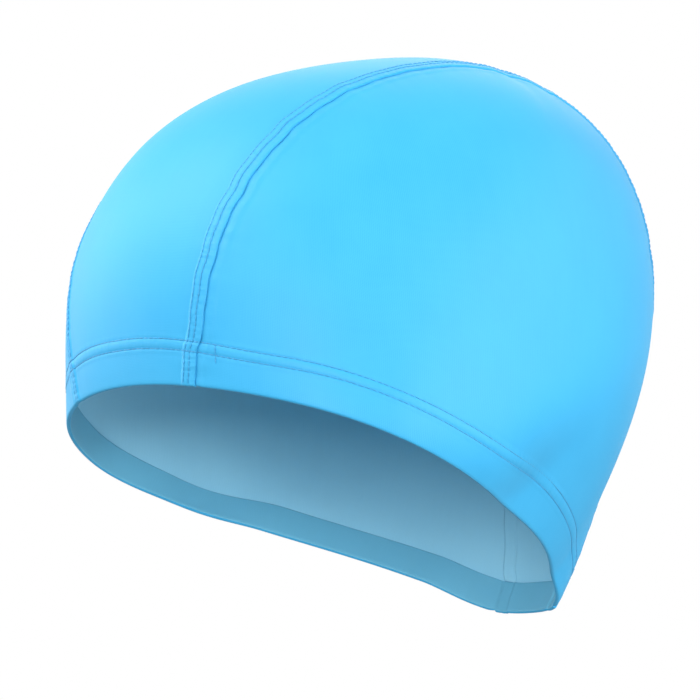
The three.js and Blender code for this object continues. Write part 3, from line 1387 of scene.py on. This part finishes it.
@dataclass(frozen=True)
class Hem:
    """The hem: the cloth turned inside at the edge and lying on itself.

    Its cut edge is rowed finely over fine_depth, and wall_stops are the distances and pitches
    of the wall's rows beneath and over its stitching.
    """

    depth: float = 11.5 * MM
    cloth: float = CLOTH
    slit: float = 0.12 * MM
    fold_steps: int = 8
    pitch: float = 1.0 * MM
    fine_depth: float = 2.3 * MM
    fine_pitch: float = 0.3 * MM
    wall_stops: Stops = ((9.4 * MM, 1.1 * MM), (14.8 * MM, 0.27 * MM))

    @property
    def radius(self) -> float:
        """Outer radius of the fold."""
        return self.cloth + self.slit / 2

    def turned_rows(self) -> np.ndarray:
        """Distances from the edge of the turned-up layer's rows, from the cut edge down."""
        coarse = (self.depth - self.fine_depth, self.pitch)
        return spread((self.radius, 0.0), coarse, (self.depth, self.fine_pitch))[::-1]

    def wall_foot(self) -> np.ndarray:
        """Distances from the edge of the wall's rows up to the hem stitching and over it."""
        return spread((self.radius, 0.0), *self.wall_stops)

    def turn(
        self, path: FacePath, start: bool, measure: Callable[[Places, np.ndarray], Surface]
    ) -> tuple[np.ndarray, np.ndarray, np.ndarray]:
        """The turned-up layer and the fold at one end of a path.

        Args:
            path: the path across the cloth.
            start: whether the hem is at the path's start or at its end.
            measure: gives the wall's surface at places and distances from the edge.

        Returns:
            The points of the outer skin and of the back skin, from the cut edge to the wall,
            and their distances along the cloth from the fold, below 0 inside.
        """
        rows = self.turned_rows()
        places = path.at(rows if start else path.length - rows)
        surface = measure(places, rows)
        above = surface.under - self.slit
        back = places.raised(above)
        face = places.raised(above - surface.turned)
        foot_at = np.array([self.radius])
        foot = path.at(foot_at if start else path.length - foot_at)
        wall = measure(foot, foot_at)
        onward = foot.onward[0] * (1.0 if start else -1.0)
        level = float(wall.under[0]) - self.slit / 2
        centre = foot.point[0] + foot.normal[0] * level
        angles = np.linspace(0.0, math.pi, self.fold_steps + 1)[1:-1]
        ray = -foot.normal[0] * np.cos(angles)[:, None] - onward * np.sin(angles)[:, None]
        wall_radius = float(wall.top[0]) - level
        turned_radius = float(wall.turned[0]) + self.slit / 2
        radii = turned_radius + (wall_radius - turned_radius) * angles / math.pi
        fold_face = centre + ray * radii[:, None]
        fold_back = centre + ray * (self.slit / 2)
        beneath = np.concatenate([-rows, -self.radius * np.cos(angles)])
        return np.concatenate([face, fold_face]), np.concatenate([back, fold_back]), beneath


@dataclass
class ClothColumns:
    """Columns of both skins gathered one after another into a grid."""

    faces: list[np.ndarray] = field(default_factory=list)
    backs: list[np.ndarray] = field(default_factory=list)
    maps: dict[ClothMap, list[np.ndarray]] = field(
        default_factory=lambda: {kind: [] for kind in ClothMap}
    )

    def add(self, face: np.ndarray, back: np.ndarray, maps: dict[ClothMap, np.ndarray]) -> None:
        """Add a column.

        Args:
            face: points of its outer skin.
            back: points of its back skin.
            maps: its two distances at each point, by map.
        """
        self.faces.append(face)
        self.backs.append(back)
        for kind, values in maps.items():
            self.maps[kind].append(values)

    def grid(self, turned: tuple[int, int] = (0, 0)) -> FaceGrid:
        """The columns as a grid.

        Args:
            turned: how many rows are turned inside at the start and at the end.

        Returns:
            The grid.
        """
        maps = {kind: np.stack(values) for kind, values in self.maps.items()}
        return FaceGrid(np.stack(self.faces), np.stack(self.backs), maps, turned)


def pairs(first: np.ndarray | float, second: np.ndarray) -> np.ndarray:
    """Two distances side by side."""
    return np.stack([np.broadcast_to(first, second.shape), second], axis=-1)


def hidden(rows: np.ndarray) -> np.ndarray:
    """A map's values for rows of cloth that is turned inside."""
    return pairs(FAR_INSIDE, rows)


@dataclass
class CrownStrip:
    """The strip from forehead to nape, hemmed at both ends and raised along both seams."""

    form: HeadForm
    seam: Seam
    relief: Relief
    hem: Hem
    lines: dict[Side, SeamLine]
    inset_stops: Stops = (
        (0.08 * MM, 0.0),
        (0.5 * MM, 0.1 * MM),
        (6.6 * MM, 0.27 * MM),
        (9.0 * MM, 0.8 * MM),
    )
    middle_columns: int = 20
    middle_rows: int = 280
    map_half_share: float = 1.08
    flat_size: tuple[float, float] = (110 * MM, 440 * MM)

    def columns(self) -> list[tuple[Side, float, float]]:
        """The columns from right to left: side, share of the half-width, inset."""
        insets = spread(*self.inset_stops)
        shares = np.linspace(0.0, 1.0, self.middle_columns + 1)[:-1]
        widest = float(insets[-1])
        right = [(Side.RIGHT, 1.0, float(i)) for i in insets]
        right += [(Side.RIGHT, float(s), widest) for s in shares[::-1]]
        left = [(Side.LEFT, float(s), widest) for s in shares[1:]]
        left += [(Side.LEFT, 1.0, float(i)) for i in insets[::-1]]
        return right + left

    def wall_rows(self, length: float) -> np.ndarray:
        """Distances of the wall's rows along a path, finer over the hem stitching."""
        end = self.hem.wall_foot()
        share = np.linspace(0.0, 1.0, self.middle_rows + 1)[1:-1]
        middle = end[-1] + (length - 2 * end[-1]) * share
        return np.concatenate([end, middle, length - end[::-1]])

    def surface(self, places: Places, from_edge: np.ndarray, side: Side) -> Surface:
        """The strip's two skins.

        Args:
            places: where to measure.
            from_edge: distances from the nearer folded edge.
            side: the side whose seam is nearer.

        Returns:
            The heights off the head form and where the places lie.
        """
        line = self.lines[side]
        distance, along = line.nearest(places.point)
        around = angle_round(places.point)
        common = self.relief.shared(places.point, distance, along, line.phase)
        sewn = self.relief.margin(distance, along, line.phase)
        sewn = sewn + self.relief.hem(from_edge, around)
        return Surface(
            top=common + sewn,
            under=common + self.relief.margin_base(distance) - self.relief.cloth,
            turned=np.full_like(distance, self.relief.cloth),
            seam=pairs(distance, along + line.map_shift),
            hem=self.relief.hem_place(from_edge, around),
        )

    def build(self, wardrobe: Wardrobe) -> bpy.types.Object:
        """Make the strip.

        Args:
            wardrobe: the finishes.

        Returns:
            The strip's object.
        """
        columns = ClothColumns()
        half = self.form.strip_half_width * self.map_half_share
        for side, share, inset in self.columns():
            path = self.seam.strand(side, share, inset)
            measure = partial(self.surface, side=side)
            front = self.hem.turn(path, True, measure)
            back = self.hem.turn(path, False, measure)
            rows = self.wall_rows(path.length)
            places = path.at(rows)
            wall = measure(places, np.minimum(rows, path.length - rows))
            along = np.concatenate([front[2], rows, path.length - back[2][::-1]])
            ends = hidden(front[2]), hidden(back[2][::-1])
            columns.add(
                np.concatenate([front[0], places.raised(wall.top), back[0][::-1]]),
                np.concatenate([front[1], places.raised(wall.under), back[1][::-1]]),
                {
                    ClothMap.FLAT: pairs(side.value * share * (half - inset), along),
                    ClothMap.SEAM: np.concatenate([ends[0], wall.seam, ends[1]]),
                    ClothMap.HEM: np.concatenate([ends[0], wall.hem, ends[1]]),
                },
            )
        turned = len(self.hem.turned_rows()) + 1
        piece = columns.grid((turned, turned)).mesh("crown_strip", self.form)
        wardrobe.dress(piece)
        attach(piece, "root")
        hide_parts("crown_panel")
        return piece


@dataclass
class SidePanel:
    """The D over one ear, between the folded edge and the seam.

    It runs tuck past the seam, beneath the crown strip. front_corner and back_corner are the
    stations at which its net of columns and rows turns from the seam's ends to its top, and
    end_stops and seam_stops are shares of the way along and up, with their pitches.
    """

    form: HeadForm
    seam: Seam
    relief: Relief
    hem: Hem
    line: SeamLine
    side: Side
    front_corner: float = math.radians(52)
    back_corner: float = math.radians(142)
    tuck: float = 0.8 * MM
    end_stops: Stops = ((0.0, 0.0), (0.009, 0.0007), (0.025, 0.0018), (0.075, 0.0045))
    middle_columns: int = 118
    seam_stops: Stops = ((0.0, 0.0), (0.014, 0.0009), (0.06, 0.0025), (0.12, 0.008))
    middle_rows: int = 66
    flat_size: tuple[float, float] = (230 * MM, 190 * MM)

    def __post_init__(self) -> None:
        """Find the seam's ends and the part of the edge between them."""
        path = self.seam.strand(self.side, 1.0, self.tuck)
        self.curve = path.curve
        self.front = float(path.parameters[0])
        self.back = float(path.parameters[-1])
        self.around = angle_round(self.curve(np.array([self.front, self.back])))

    def patch(self, u: float) -> Curve:
        """A curve from the edge to the seam.

        Args:
            u: its place from the front end of the panel, 0, to the back end, 1.

        Returns:
            Points of the face against a share of the way up.
        """
        start, end = self.around
        bottom = self.form.edge_point(np.array([start + (end - start) * u]))[0]
        corners = self.form.edge_point(np.array([start, end]))
        top_at = self.front_corner + (self.back_corner - self.front_corner) * u
        top = self.curve(np.array([top_at]))[0]
        top_ends = self.curve(np.array([self.front_corner, self.back_corner]))

        def points(v: np.ndarray) -> np.ndarray:
            """Points of the curve at shares of the way up."""
            front = self.curve(self.front + (self.front_corner - self.front) * v)
            back = self.curve(self.back + (self.back_corner - self.back) * v)
            v = v[:, None]
            mixed = bottom * (1 - v) + top * v + front * (1 - u) + back * u
            mixed = mixed - corners[0] * (1 - u) * (1 - v) - corners[1] * u * (1 - v)
            mixed = mixed - top_ends[0] * (1 - u) * v - top_ends[1] * u * v
            return self.form.on_face(mixed)

        return points

    def strand(self, u: float) -> FacePath:
        """The measured path of a column from the edge to the seam."""
        return FacePath(self.form, self.patch(u), 0.0, 1.0)

    def places_along(self) -> np.ndarray:
        """The columns' places from front to back, finer beside the seam."""
        ends = spread(*self.end_stops)
        middle = np.linspace(ends[-1], 1.0 - ends[-1], self.middle_columns)[1:-1]
        return np.concatenate([ends, middle, (1.0 - ends)[::-1]])

    def wall_rows(self, length: float) -> np.ndarray:
        """Distances of the wall's rows, finer over the hem stitching and beside the seam."""
        low = self.hem.wall_foot()
        top = 1.0 - spread(*self.seam_stops)[::-1]
        share = np.concatenate([np.linspace(0.0, top[0], self.middle_rows)[1:-1], top])
        return np.concatenate([low, low[-1] + (length - low[-1]) * share])

    def surface(self, places: Places, from_edge: np.ndarray) -> Surface:
        """The panel's two skins.

        Args:
            places: where to measure.
            from_edge: distances from the folded edge.

        Returns:
            The heights off the head form and where the places lie.
        """
        distance, along = self.line.nearest(places.point)
        inward = np.where(self.beneath_strip(places.point), distance, -distance)
        around = angle_round(places.point)
        common = self.relief.shared(places.point, inward, along, self.line.phase)
        sewn = self.relief.panel_edge(inward, along, self.line.phase)
        sewn = sewn + self.relief.hem(from_edge, around)
        near = smooth_step(inward, *self.relief.thinning)
        cloth = self.relief.cloth
        return Surface(
            top=common + sewn,
            under=common - cloth + self.relief.pressed * near,
            turned=cloth + (self.relief.turned_edge - cloth) * near,
            seam=pairs(inward, along + self.line.map_shift),
            hem=self.relief.hem_place(from_edge, around),
        )

    def beneath_strip(self, points: np.ndarray) -> np.ndarray:
        """Whether points lie on the middle's side of the seam."""
        station = station_of(points)
        seam = self.form.face_point(station, self.seam.offset(station, self.side))
        return np.abs(points[..., 0]) < np.abs(seam[..., 0])

    def build(self, wardrobe: Wardrobe) -> bpy.types.Object:
        """Make the panel.

        Args:
            wardrobe: the finishes.

        Returns:
            The panel's object.
        """
        columns = ClothColumns()
        for u in self.places_along():
            path = self.strand(float(u))
            face, back, beneath = self.hem.turn(path, True, self.surface)
            rows = self.wall_rows(path.length)
            places = path.at(rows)
            wall = self.surface(places, rows)
            across = float(u) * self.flat_size[0]
            columns.add(
                np.concatenate([face, places.raised(wall.top)]),
                np.concatenate([back, places.raised(wall.under)]),
                {
                    ClothMap.FLAT: pairs(across, np.concatenate([beneath, rows])),
                    ClothMap.SEAM: np.concatenate([hidden(beneath), wall.seam]),
                    ClothMap.HEM: np.concatenate([hidden(beneath), wall.hem]),
                },
            )
        turned = len(self.hem.turned_rows()) + 1
        piece = columns.grid((turned, 0)).mesh(f"{self.side.word}_side_panel", self.form)
        wardrobe.dress(piece)
        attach(piece, "root")
        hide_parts(f"{self.side.word}_panel")
        return piece


@dataclass
class SeamAllowance:
    """The side panel's margin lapped under the crown strip, from hem to hem.

    It stops hem_clearance short of the hems. Towards the middle it thins over feather to
    edge_share of its thickness, so that its cut edge doesn't stand out.
    """

    form: HeadForm
    seam: Seam
    relief: Relief
    hem: Hem
    line: SeamLine
    side: Side
    outer_edge: float = 0.84 * MM
    inner_edge: float = 5.2 * MM
    thickness: float = 0.35 * MM
    edge_share: float = 0.08
    feather: float = 2.2 * MM
    gap: float = 0.02 * MM
    hem_clearance: float = 0.3 * MM
    columns_across: int = 11
    rows_along: int = 320
    flat_size: tuple[float, float] = (10.1 * MM, 410 * MM)

    def build(self, wardrobe: Wardrobe) -> bpy.types.Object:
        """Make the margin.

        Args:
            wardrobe: the finishes.

        Returns:
            The margin's object.
        """
        columns = ClothColumns()
        end = self.hem.depth + self.hem_clearance
        for inset in np.linspace(self.outer_edge, self.inner_edge, self.columns_across):
            path = self.seam.strand(self.side, 1.0, float(inset))
            rows = np.linspace(end, path.length - end, self.rows_along)
            places = path.at(rows)
            distance, along = self.line.nearest(places.point)
            top = self.relief.margin_base(distance) - self.relief.cloth - self.gap
            top = top + self.relief.shared(places.point, distance, along, self.line.phase)
            inside = (self.inner_edge - inset) / self.feather
            fullness = self.edge_share + (1.0 - self.edge_share) * min(1.0, float(inside))
            columns.add(
                places.raised(top),
                places.raised(top - self.thickness * fullness),
                {
                    ClothMap.FLAT: pairs(float(inset), rows),
                    ClothMap.SEAM: hidden(rows),
                    ClothMap.HEM: hidden(rows),
                },
            )
        piece = columns.grid().mesh(f"{self.side.word}_margin", self.form)
        wardrobe.dress(piece)
        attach(piece, "root")
        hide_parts(f"{self.side.word}_seam_allowance")
        return piece


@dataclass
class StitchRow:
    """A row of places that thread follows, each with the way out of the cloth."""

    point: np.ndarray
    normal: np.ndarray

    def resampled(self, pitch: float) -> tuple[np.ndarray, np.ndarray, np.ndarray, float]:
        """Centres of stitches along the row.

        Args:
            pitch: about the distance from one stitch to the next.

        Returns:
            Centres, normals, directions and the exact pitch.
        """
        steps = np.linalg.norm(np.diff(self.point, axis=0), axis=1)
        lengths = np.concatenate([[0.0], np.cumsum(steps)])
        count = max(1, round(lengths[-1] / pitch))
        exact = lengths[-1] / count
        at = (np.arange(count) + 0.5) * exact

        def along(values: np.ndarray, where: np.ndarray) -> np.ndarray:
            """The row's values at distances from its start."""
            return np.stack([np.interp(where, lengths, values[:, k]) for k in range(3)], axis=1)

        centre = along(self.point, at)
        near = exact / 3
        onward = along(self.point, at + near) - along(self.point, at - near)
        return centre, unit(along(self.normal, at)), unit(onward), exact


@dataclass
class ThreadWork:
    """Stitches gathered into one mesh.

    A stitch stands proud of the cloth by a share of its radius and a little more, and sinks at
    its ends. profile gives the share of its half-length and of its radius ring by ring.
    """

    name: str
    radius: float = 0.15 * MM
    length_share: float = 0.99
    sink: float = 0.18 * MM
    proud: float = 0.02 * MM
    proud_share: float = 0.5
    sides: int = 6
    points: list[np.ndarray] = field(default_factory=list)
    faces: list[np.ndarray] = field(default_factory=list)
    flat: list[np.ndarray] = field(default_factory=list)
    total: int = 0
    profile: tuple[tuple[float, float], ...] = (
        (-1.0, 0.5),
        (-0.8, 0.85),
        (-0.4, 1.0),
        (0.0, 1.0),
        (0.4, 1.0),
        (0.8, 0.85),
        (1.0, 0.5),
    )

    def sew(self, row: StitchRow, pitch: float) -> None:
        """Add a row of straight stitches.

        Args:
            row: the places that the thread follows.
            pitch: the stitch length.
        """
        centre, normal, onward, exact = row.resampled(pitch)
        half = exact * self.length_share / 2
        self.lay(centre - onward * half, centre + onward * half, normal)

    def lay(self, start: np.ndarray, end: np.ndarray, normal: np.ndarray) -> None:
        """Add stitches between needle holes.

        Args:
            start: the first hole of each stitch.
            end: its second hole.
            normal: the way out of the cloth.
        """
        centre, half = (start + end) / 2, (end - start) / 2
        onward = unit(half)
        beside = unit(np.cross(normal, onward))
        outward = unit(np.cross(onward, beside))
        angles = np.arange(self.sides) * math.tau / self.sides
        rings, flat = [], []
        for share, swell in self.profile:
            height = self.proud + self.radius * self.proud_share - self.sink * abs(share) ** 3
            middle = centre + half * share + outward * height
            size = self.radius * swell
            for turn, angle in enumerate(angles):
                rim = beside * math.cos(angle) + outward * math.sin(angle)
                rings.append(middle + rim * size)
                run = np.linalg.norm(half, axis=1) * share
                flat.append(np.stack([run, np.full(len(run), turn / self.sides)], axis=1))
        points = np.stack(rings, axis=1)
        count, per = points.shape[:2]
        faces = self.ring_faces(len(self.profile))
        base = self.total + np.arange(count)[:, None, None] * per
        self.points.append(points.reshape(-1, 3))
        self.flat.append(np.stack(flat, axis=1).reshape(-1, 2))
        self.faces.append((faces[None] + base).reshape(-1, 4))
        self.total += count * per

    def ring_faces(self, rings: int) -> np.ndarray:
        """Quads of one stitch; each end closes with half as many as it has sides, less one."""
        n = self.sides
        quads = []
        for ring in range(rings - 1):
            for k in range(n):
                low, high = ring * n, (ring + 1) * n
                quads.append([low + k, low + (k + 1) % n, high + (k + 1) % n, high + k])
        last = (rings - 1) * n
        quads += [[0, k + 2, k + 1, k] for k in range(1, n - 1, 2)]
        quads += [[last, last + k, last + k + 1, last + k + 2] for k in range(1, n - 1, 2)]
        return np.array(quads)

    def build(self, form: HeadForm, material: bpy.types.Material) -> bpy.types.Object:
        """Make the mesh of all the stitches.

        Args:
            form: the head form, which gives the frame.
            material: the thread's finish.

        Returns:
            The thread's object.
        """
        mesh = bpy.data.meshes.new(self.name)
        points = form.placed(np.concatenate(self.points))
        faces = np.concatenate(self.faces)
        mesh.from_pydata(points.tolist(), [], faces.tolist())
        mesh.polygons.foreach_set("use_smooth", np.ones(len(faces), dtype=bool))
        add_map(mesh, "thread", np.concatenate(self.flat))
        mesh.materials.append(material)
        mesh.update()
        piece = add_object(self.name, mesh)
        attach(piece, "root")
        return piece


@dataclass
class Stitching:
    """All the thread: twin rows on the seams' margins, twin rows on the hem and a back-tack.

    The back-tack is sewn tack_behind the left seam's front end, from tack_below the lower hem
    row to the upper one, twice over with tack_pitches.
    """

    form: HeadForm
    seam: Seam
    relief: Relief
    strip: CrownStrip
    panels: dict[Side, SidePanel]
    seam_pitch: float = 1.75 * MM
    hem_pitch: float = 2.1 * MM
    tack_behind: float = 9.6 * MM
    tack_below: float = 2.3 * MM
    tack_pitches: tuple[float, ...] = (1.6 * MM, 1.3 * MM)
    tack_rise: float = math.radians(20)
    tack_places: int = 40
    end_gap: float = 1.0 * MM
    seam_places: int = 900
    hem_places: int = 110
    hem_end_share: float = 0.004

    def seam_rows(self) -> ThreadWork:
        """Sew the twin rows beside both seams."""
        work = ThreadWork("seam_stitching")
        for side in Side:
            for inset in self.relief.rows:
                path = self.seam.strand(side, 1.0, inset)
                rows = np.linspace(self.end_gap, path.length - self.end_gap, self.seam_places)
                places = path.at(rows)
                from_edge = np.minimum(rows, path.length - rows)
                top = self.strip.surface(places, from_edge, side).top
                work.sew(StitchRow(places.raised(top), places.normal), self.seam_pitch)
        return work

    def hem_rows(self) -> ThreadWork:
        """Sew the twin rows round the hem and the back-tack across them."""
        work = ThreadWork("hem_stitching")
        for distance in self.relief.hem_rows:
            for row in self.hem_lines(distance):
                work.sew(row, self.hem_pitch)
        self.back_tack(work)
        return work

    def hem_lines(self, distance: float) -> list[StitchRow]:
        """The lines of one row of the hem, one on each panel.

        Args:
            distance: the row's even distance above the edge.

        Returns:
            The lines.
        """
        lines = []
        ends = self.hem_end_share, 1.0 - self.hem_end_share
        for panel in self.panels.values():
            paths = [panel.strand(float(u)) for u in np.linspace(*ends, self.hem_places)]
            lines.append(self.hem_line([(path, True, panel.surface) for path in paths], distance))
        strands = []
        for side, share, inset in self.strip.columns():
            measure = partial(self.strip.surface, side=side)
            strands.append((self.seam.strand(side, share, inset), measure))
        for front in (True, False):
            lines.append(self.hem_line([(path, front, m) for path, m in strands], distance))
        return lines

    def hem_line(
        self, strands: list[tuple[FacePath, bool, Callable]], distance: float
    ) -> StitchRow:
        """One line across neighbouring paths.

        Args:
            strands: the paths, whether the hem is at each one's start, and its surface.
            distance: the row's even distance above the edge.

        Returns:
            The line.
        """
        points, normals = [], []
        for path, start, measure in strands:
            edge = path.curve(path.parameters[:1] if start else path.parameters[-1:])
            at = distance + self.relief.hem_course.stray(angle_round(edge))
            places = path.at(at if start else path.length - at)
            points.append(places.raised(measure(places, at).top)[0])
            normals.append(places.normal[0])
        return StitchRow(np.array(points), np.array(normals))

    def back_tack(self, work: ThreadWork) -> None:
        """Sew the short bar across the hem rows, where their stitching starts and ends."""
        panel = self.panels[Side.LEFT]
        around = np.array([panel.around[0] + self.tack_behind / self.relief.around_reach])
        drop = self.form.edge_drop(around)

        def curve(rise: np.ndarray) -> np.ndarray:
            """Points straight above one place of the edge, at angles above it."""
            return self.form.toward(around, rise - drop)

        path = FacePath(self.form, curve, 0.0, self.tack_rise)
        low, high = self.relief.hem_rows + self.relief.hem_course.stray(around)
        rows = np.linspace(low - self.tack_below, high, self.tack_places)
        places = path.at(rows)
        row = StitchRow(places.raised(panel.surface(places, rows).top), places.normal)
        for pitch in self.tack_pitches:
            work.sew(row, pitch)


@dataclass(frozen=True)
class Softbox:
    """A square area light aimed at the cap.

    azimuth and elevation are in degrees, distance and size in metres and power in watts.
    """

    name: str
    azimuth: float
    elevation: float
    distance: float
    size: float
    power: float
    colour: tuple[float, float, float] = (1.0, 1.0, 1.0)

    def place(self, target: Vector) -> None:
        """Put the light into the scene.

        Args:
            target: the point it faces.
        """
        light = bpy.data.lights.new(self.name, "AREA")
        light.shape = "SQUARE"
        light.size = self.size
        light.energy = self.power
        light.color = self.colour
        lamp = bpy.data.objects.new(self.name, light)
        bpy.context.scene.collection.objects.link(lamp)
        back = way_out(self.azimuth, self.elevation)
        lamp.location = target + back * self.distance
        lamp.rotation_euler = (-back).to_track_quat("-Z", "Y").to_euler()


@dataclass(frozen=True)
class Studio:
    """White surroundings, a pale floor far below the cap, soft lights and the camera.

    Angles are in degrees. The camera stands distance from the middle of the head, shifted to
    the right and up and rolled, and half_frame is half the picture's width there. The backdrop
    is white up to backdrop_full from backdrop_azimuth and fades to room at backdrop_end.
    """

    azimuth: float = 53.0
    elevation: float = -5.0
    distance: float = 1.23
    shift_right: float = 6.5 * MM
    shift_up: float = 14.9 * MM
    roll: float = 2.25
    half_frame: float = 112 * MM
    sensor: float = 36.0
    clip: tuple[float, float] = (0.01, 100.0)
    floor_depth: float = 2.2
    floor_size: float = 40.0
    backdrop_azimuth: float = 233.0
    backdrop_full: float = 30.0
    backdrop_end: float = 60.0
    room: float = 0.22
    lights: tuple[Softbox, ...] = (
        Softbox("front_softbox", 41.0, 7.0, 1.5, 0.4, 13.7),
        Softbox("upper_left_softbox", -20.0, 50.0, 1.5, 1.0, 24.0),
        Softbox("right_softbox", 110.0, 0.0, 1.5, 1.2, 24.0),
        Softbox("left_softbox", -60.0, 20.0, 1.5, 1.0, 11.5),
        Softbox("back_right_softbox", 150.0, 22.0, 1.5, 1.0, 6.0),
        Softbox("back_softbox", 215.0, 45.0, 1.5, 1.0, 5.0),
    )

    def camera(self, form: HeadForm) -> bpy.types.Object:
        """Make the camera.

        Args:
            form: the head form, about whose middle the camera stands.

        Returns:
            The camera's object.
        """
        back = way_out(self.azimuth, self.elevation)
        right = way_out(self.azimuth + 90.0, 0.0)
        up = back.cross(right)
        middle = -Vector(form.seat())
        turn = math.radians(self.roll)
        tilted_right = right * math.cos(turn) - up * math.sin(turn)
        tilted_up = right * math.sin(turn) + up * math.cos(turn)
        data = bpy.data.cameras.new("camera")
        data.sensor_width = self.sensor
        data.lens = self.sensor / 2 * self.distance / self.half_frame
        data.clip_start, data.clip_end = self.clip
        camera = bpy.data.objects.new("camera", data)
        bpy.context.scene.collection.objects.link(camera)
        turned = Matrix((tilted_right, tilted_up, back)).transposed()
        place = middle + right * self.shift_right + up * self.shift_up + back * self.distance
        camera.matrix_world = Matrix.Translation(place) @ turned.to_4x4()
        bpy.context.scene.camera = camera
        return camera

    def surroundings(self, form: HeadForm) -> None:
        """Make the floor, the white surroundings and the lights.

        Args:
            form: the head form, whose middle the lights face.
        """
        half = self.floor_size / 2
        mesh = bpy.data.meshes.new("floor")
        corners = [(-half, -half, 0), (half, -half, 0), (half, half, 0), (-half, half, 0)]
        mesh.from_pydata(corners, [], [(0, 1, 2, 3)])
        mesh.materials.append(FloorFinish().material())
        floor = add_object("floor", mesh)
        floor.location.z = -self.floor_depth
        floor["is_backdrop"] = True
        bpy.context.scene.world = self.room_world()
        bpy.context.scene.view_settings.view_transform = "Standard"
        target = -Vector(form.seat())
        for light in self.lights:
            light.place(target)

    def room_world(self) -> bpy.types.World:
        """Surroundings: a white backdrop behind the cap in a dimmer pale room."""
        world = bpy.data.worlds.new("pale_room")
        world.use_nodes = True
        tree = world.node_tree
        background = tree.nodes["Background"]
        background.inputs["Color"].default_value = (1.0, 1.0, 1.0, 1.0)
        place = tree.nodes.new("ShaderNodeTexCoord")
        facing = tree.nodes.new("ShaderNodeVectorMath")
        facing.operation = "DOT_PRODUCT"
        facing.inputs[1].default_value = way_out(self.backdrop_azimuth, 0.0)
        fade = tree.nodes.new("ShaderNodeMapRange")
        fade.interpolation_type = "SMOOTHSTEP"
        fade.inputs["From Min"].default_value = math.cos(math.radians(self.backdrop_end))
        fade.inputs["From Max"].default_value = math.cos(math.radians(self.backdrop_full))
        fade.inputs["To Min"].default_value = self.room
        tree.links.new(place.outputs["Generated"], facing.inputs[0])
        tree.links.new(facing.outputs["Value"], fade.inputs["Value"])
        tree.links.new(fade.outputs["Result"], background.inputs["Strength"])
        return world


@dataclass
class SwimCap:
    """The whole cap."""

    form: HeadForm = field(default_factory=HeadForm)
    relief: Relief = field(default_factory=Relief)
    hem: Hem = field(default_factory=Hem)

    def build(self) -> list[bpy.types.Object]:
        """Make every piece.

        Returns:
            The pieces.
        """
        wardrobe = Wardrobe()
        seam = Seam(self.form)
        lines = {side: SeamLine(seam, side) for side in Side}
        shared = (self.form, seam, self.relief, self.hem)
        strip = CrownStrip(*shared, lines)
        panels = {side: SidePanel(*shared, lines[side], side) for side in Side}
        margins = {side: SeamAllowance(*shared, lines[side], side) for side in Side}
        crown = self.report(strip.build(wardrobe))
        sides = {side: self.report(panel.build(wardrobe)) for side, panel in panels.items()}
        lapped = {side: self.report(margin.build(wardrobe)) for side, margin in margins.items()}
        stitching = Stitching(self.form, seam, self.relief, strip, panels)
        topstitch = self.report(stitching.seam_rows().build(self.form, wardrobe.thread))
        hem_thread = self.report(stitching.hem_rows().build(self.form, wardrobe.thread))
        return [crown, *sides.values(), *lapped.values(), topstitch, hem_thread]

    @staticmethod
    def cloth_area(piece: bpy.types.Object) -> float:
        """Area of one skin of a piece, in square metres."""
        return round(sum(face.area for face in piece.data.polygons) / 2.0, 4)

    @staticmethod
    def report(piece: bpy.types.Object) -> bpy.types.Object:
        """Log a piece and hand it back."""
        LOG.info("%s: %d faces", piece.name, len(piece.data.polygons))
        return piece


def corners(box: tuple[Vector, Vector]) -> list[list[float]]:
    """A box's corners as plain lists."""
    return [list(corner) for corner in box]


def main() -> None:
    """Build the studio and the cap, and measure their bounds."""
    logging.basicConfig(level=logging.INFO, format="%(name)s: %(message)s")
    cad_box = corners(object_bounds())
    studio = Studio()
    cap = SwimCap()
    studio.camera(cap.form)
    studio.surroundings(cap.form)
    pieces = cap.build()
    LOG.info("%d pieces", len(pieces))
    {"cad": cad_box, "visual": corners(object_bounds())}


if __name__ == "__main__":
    main()
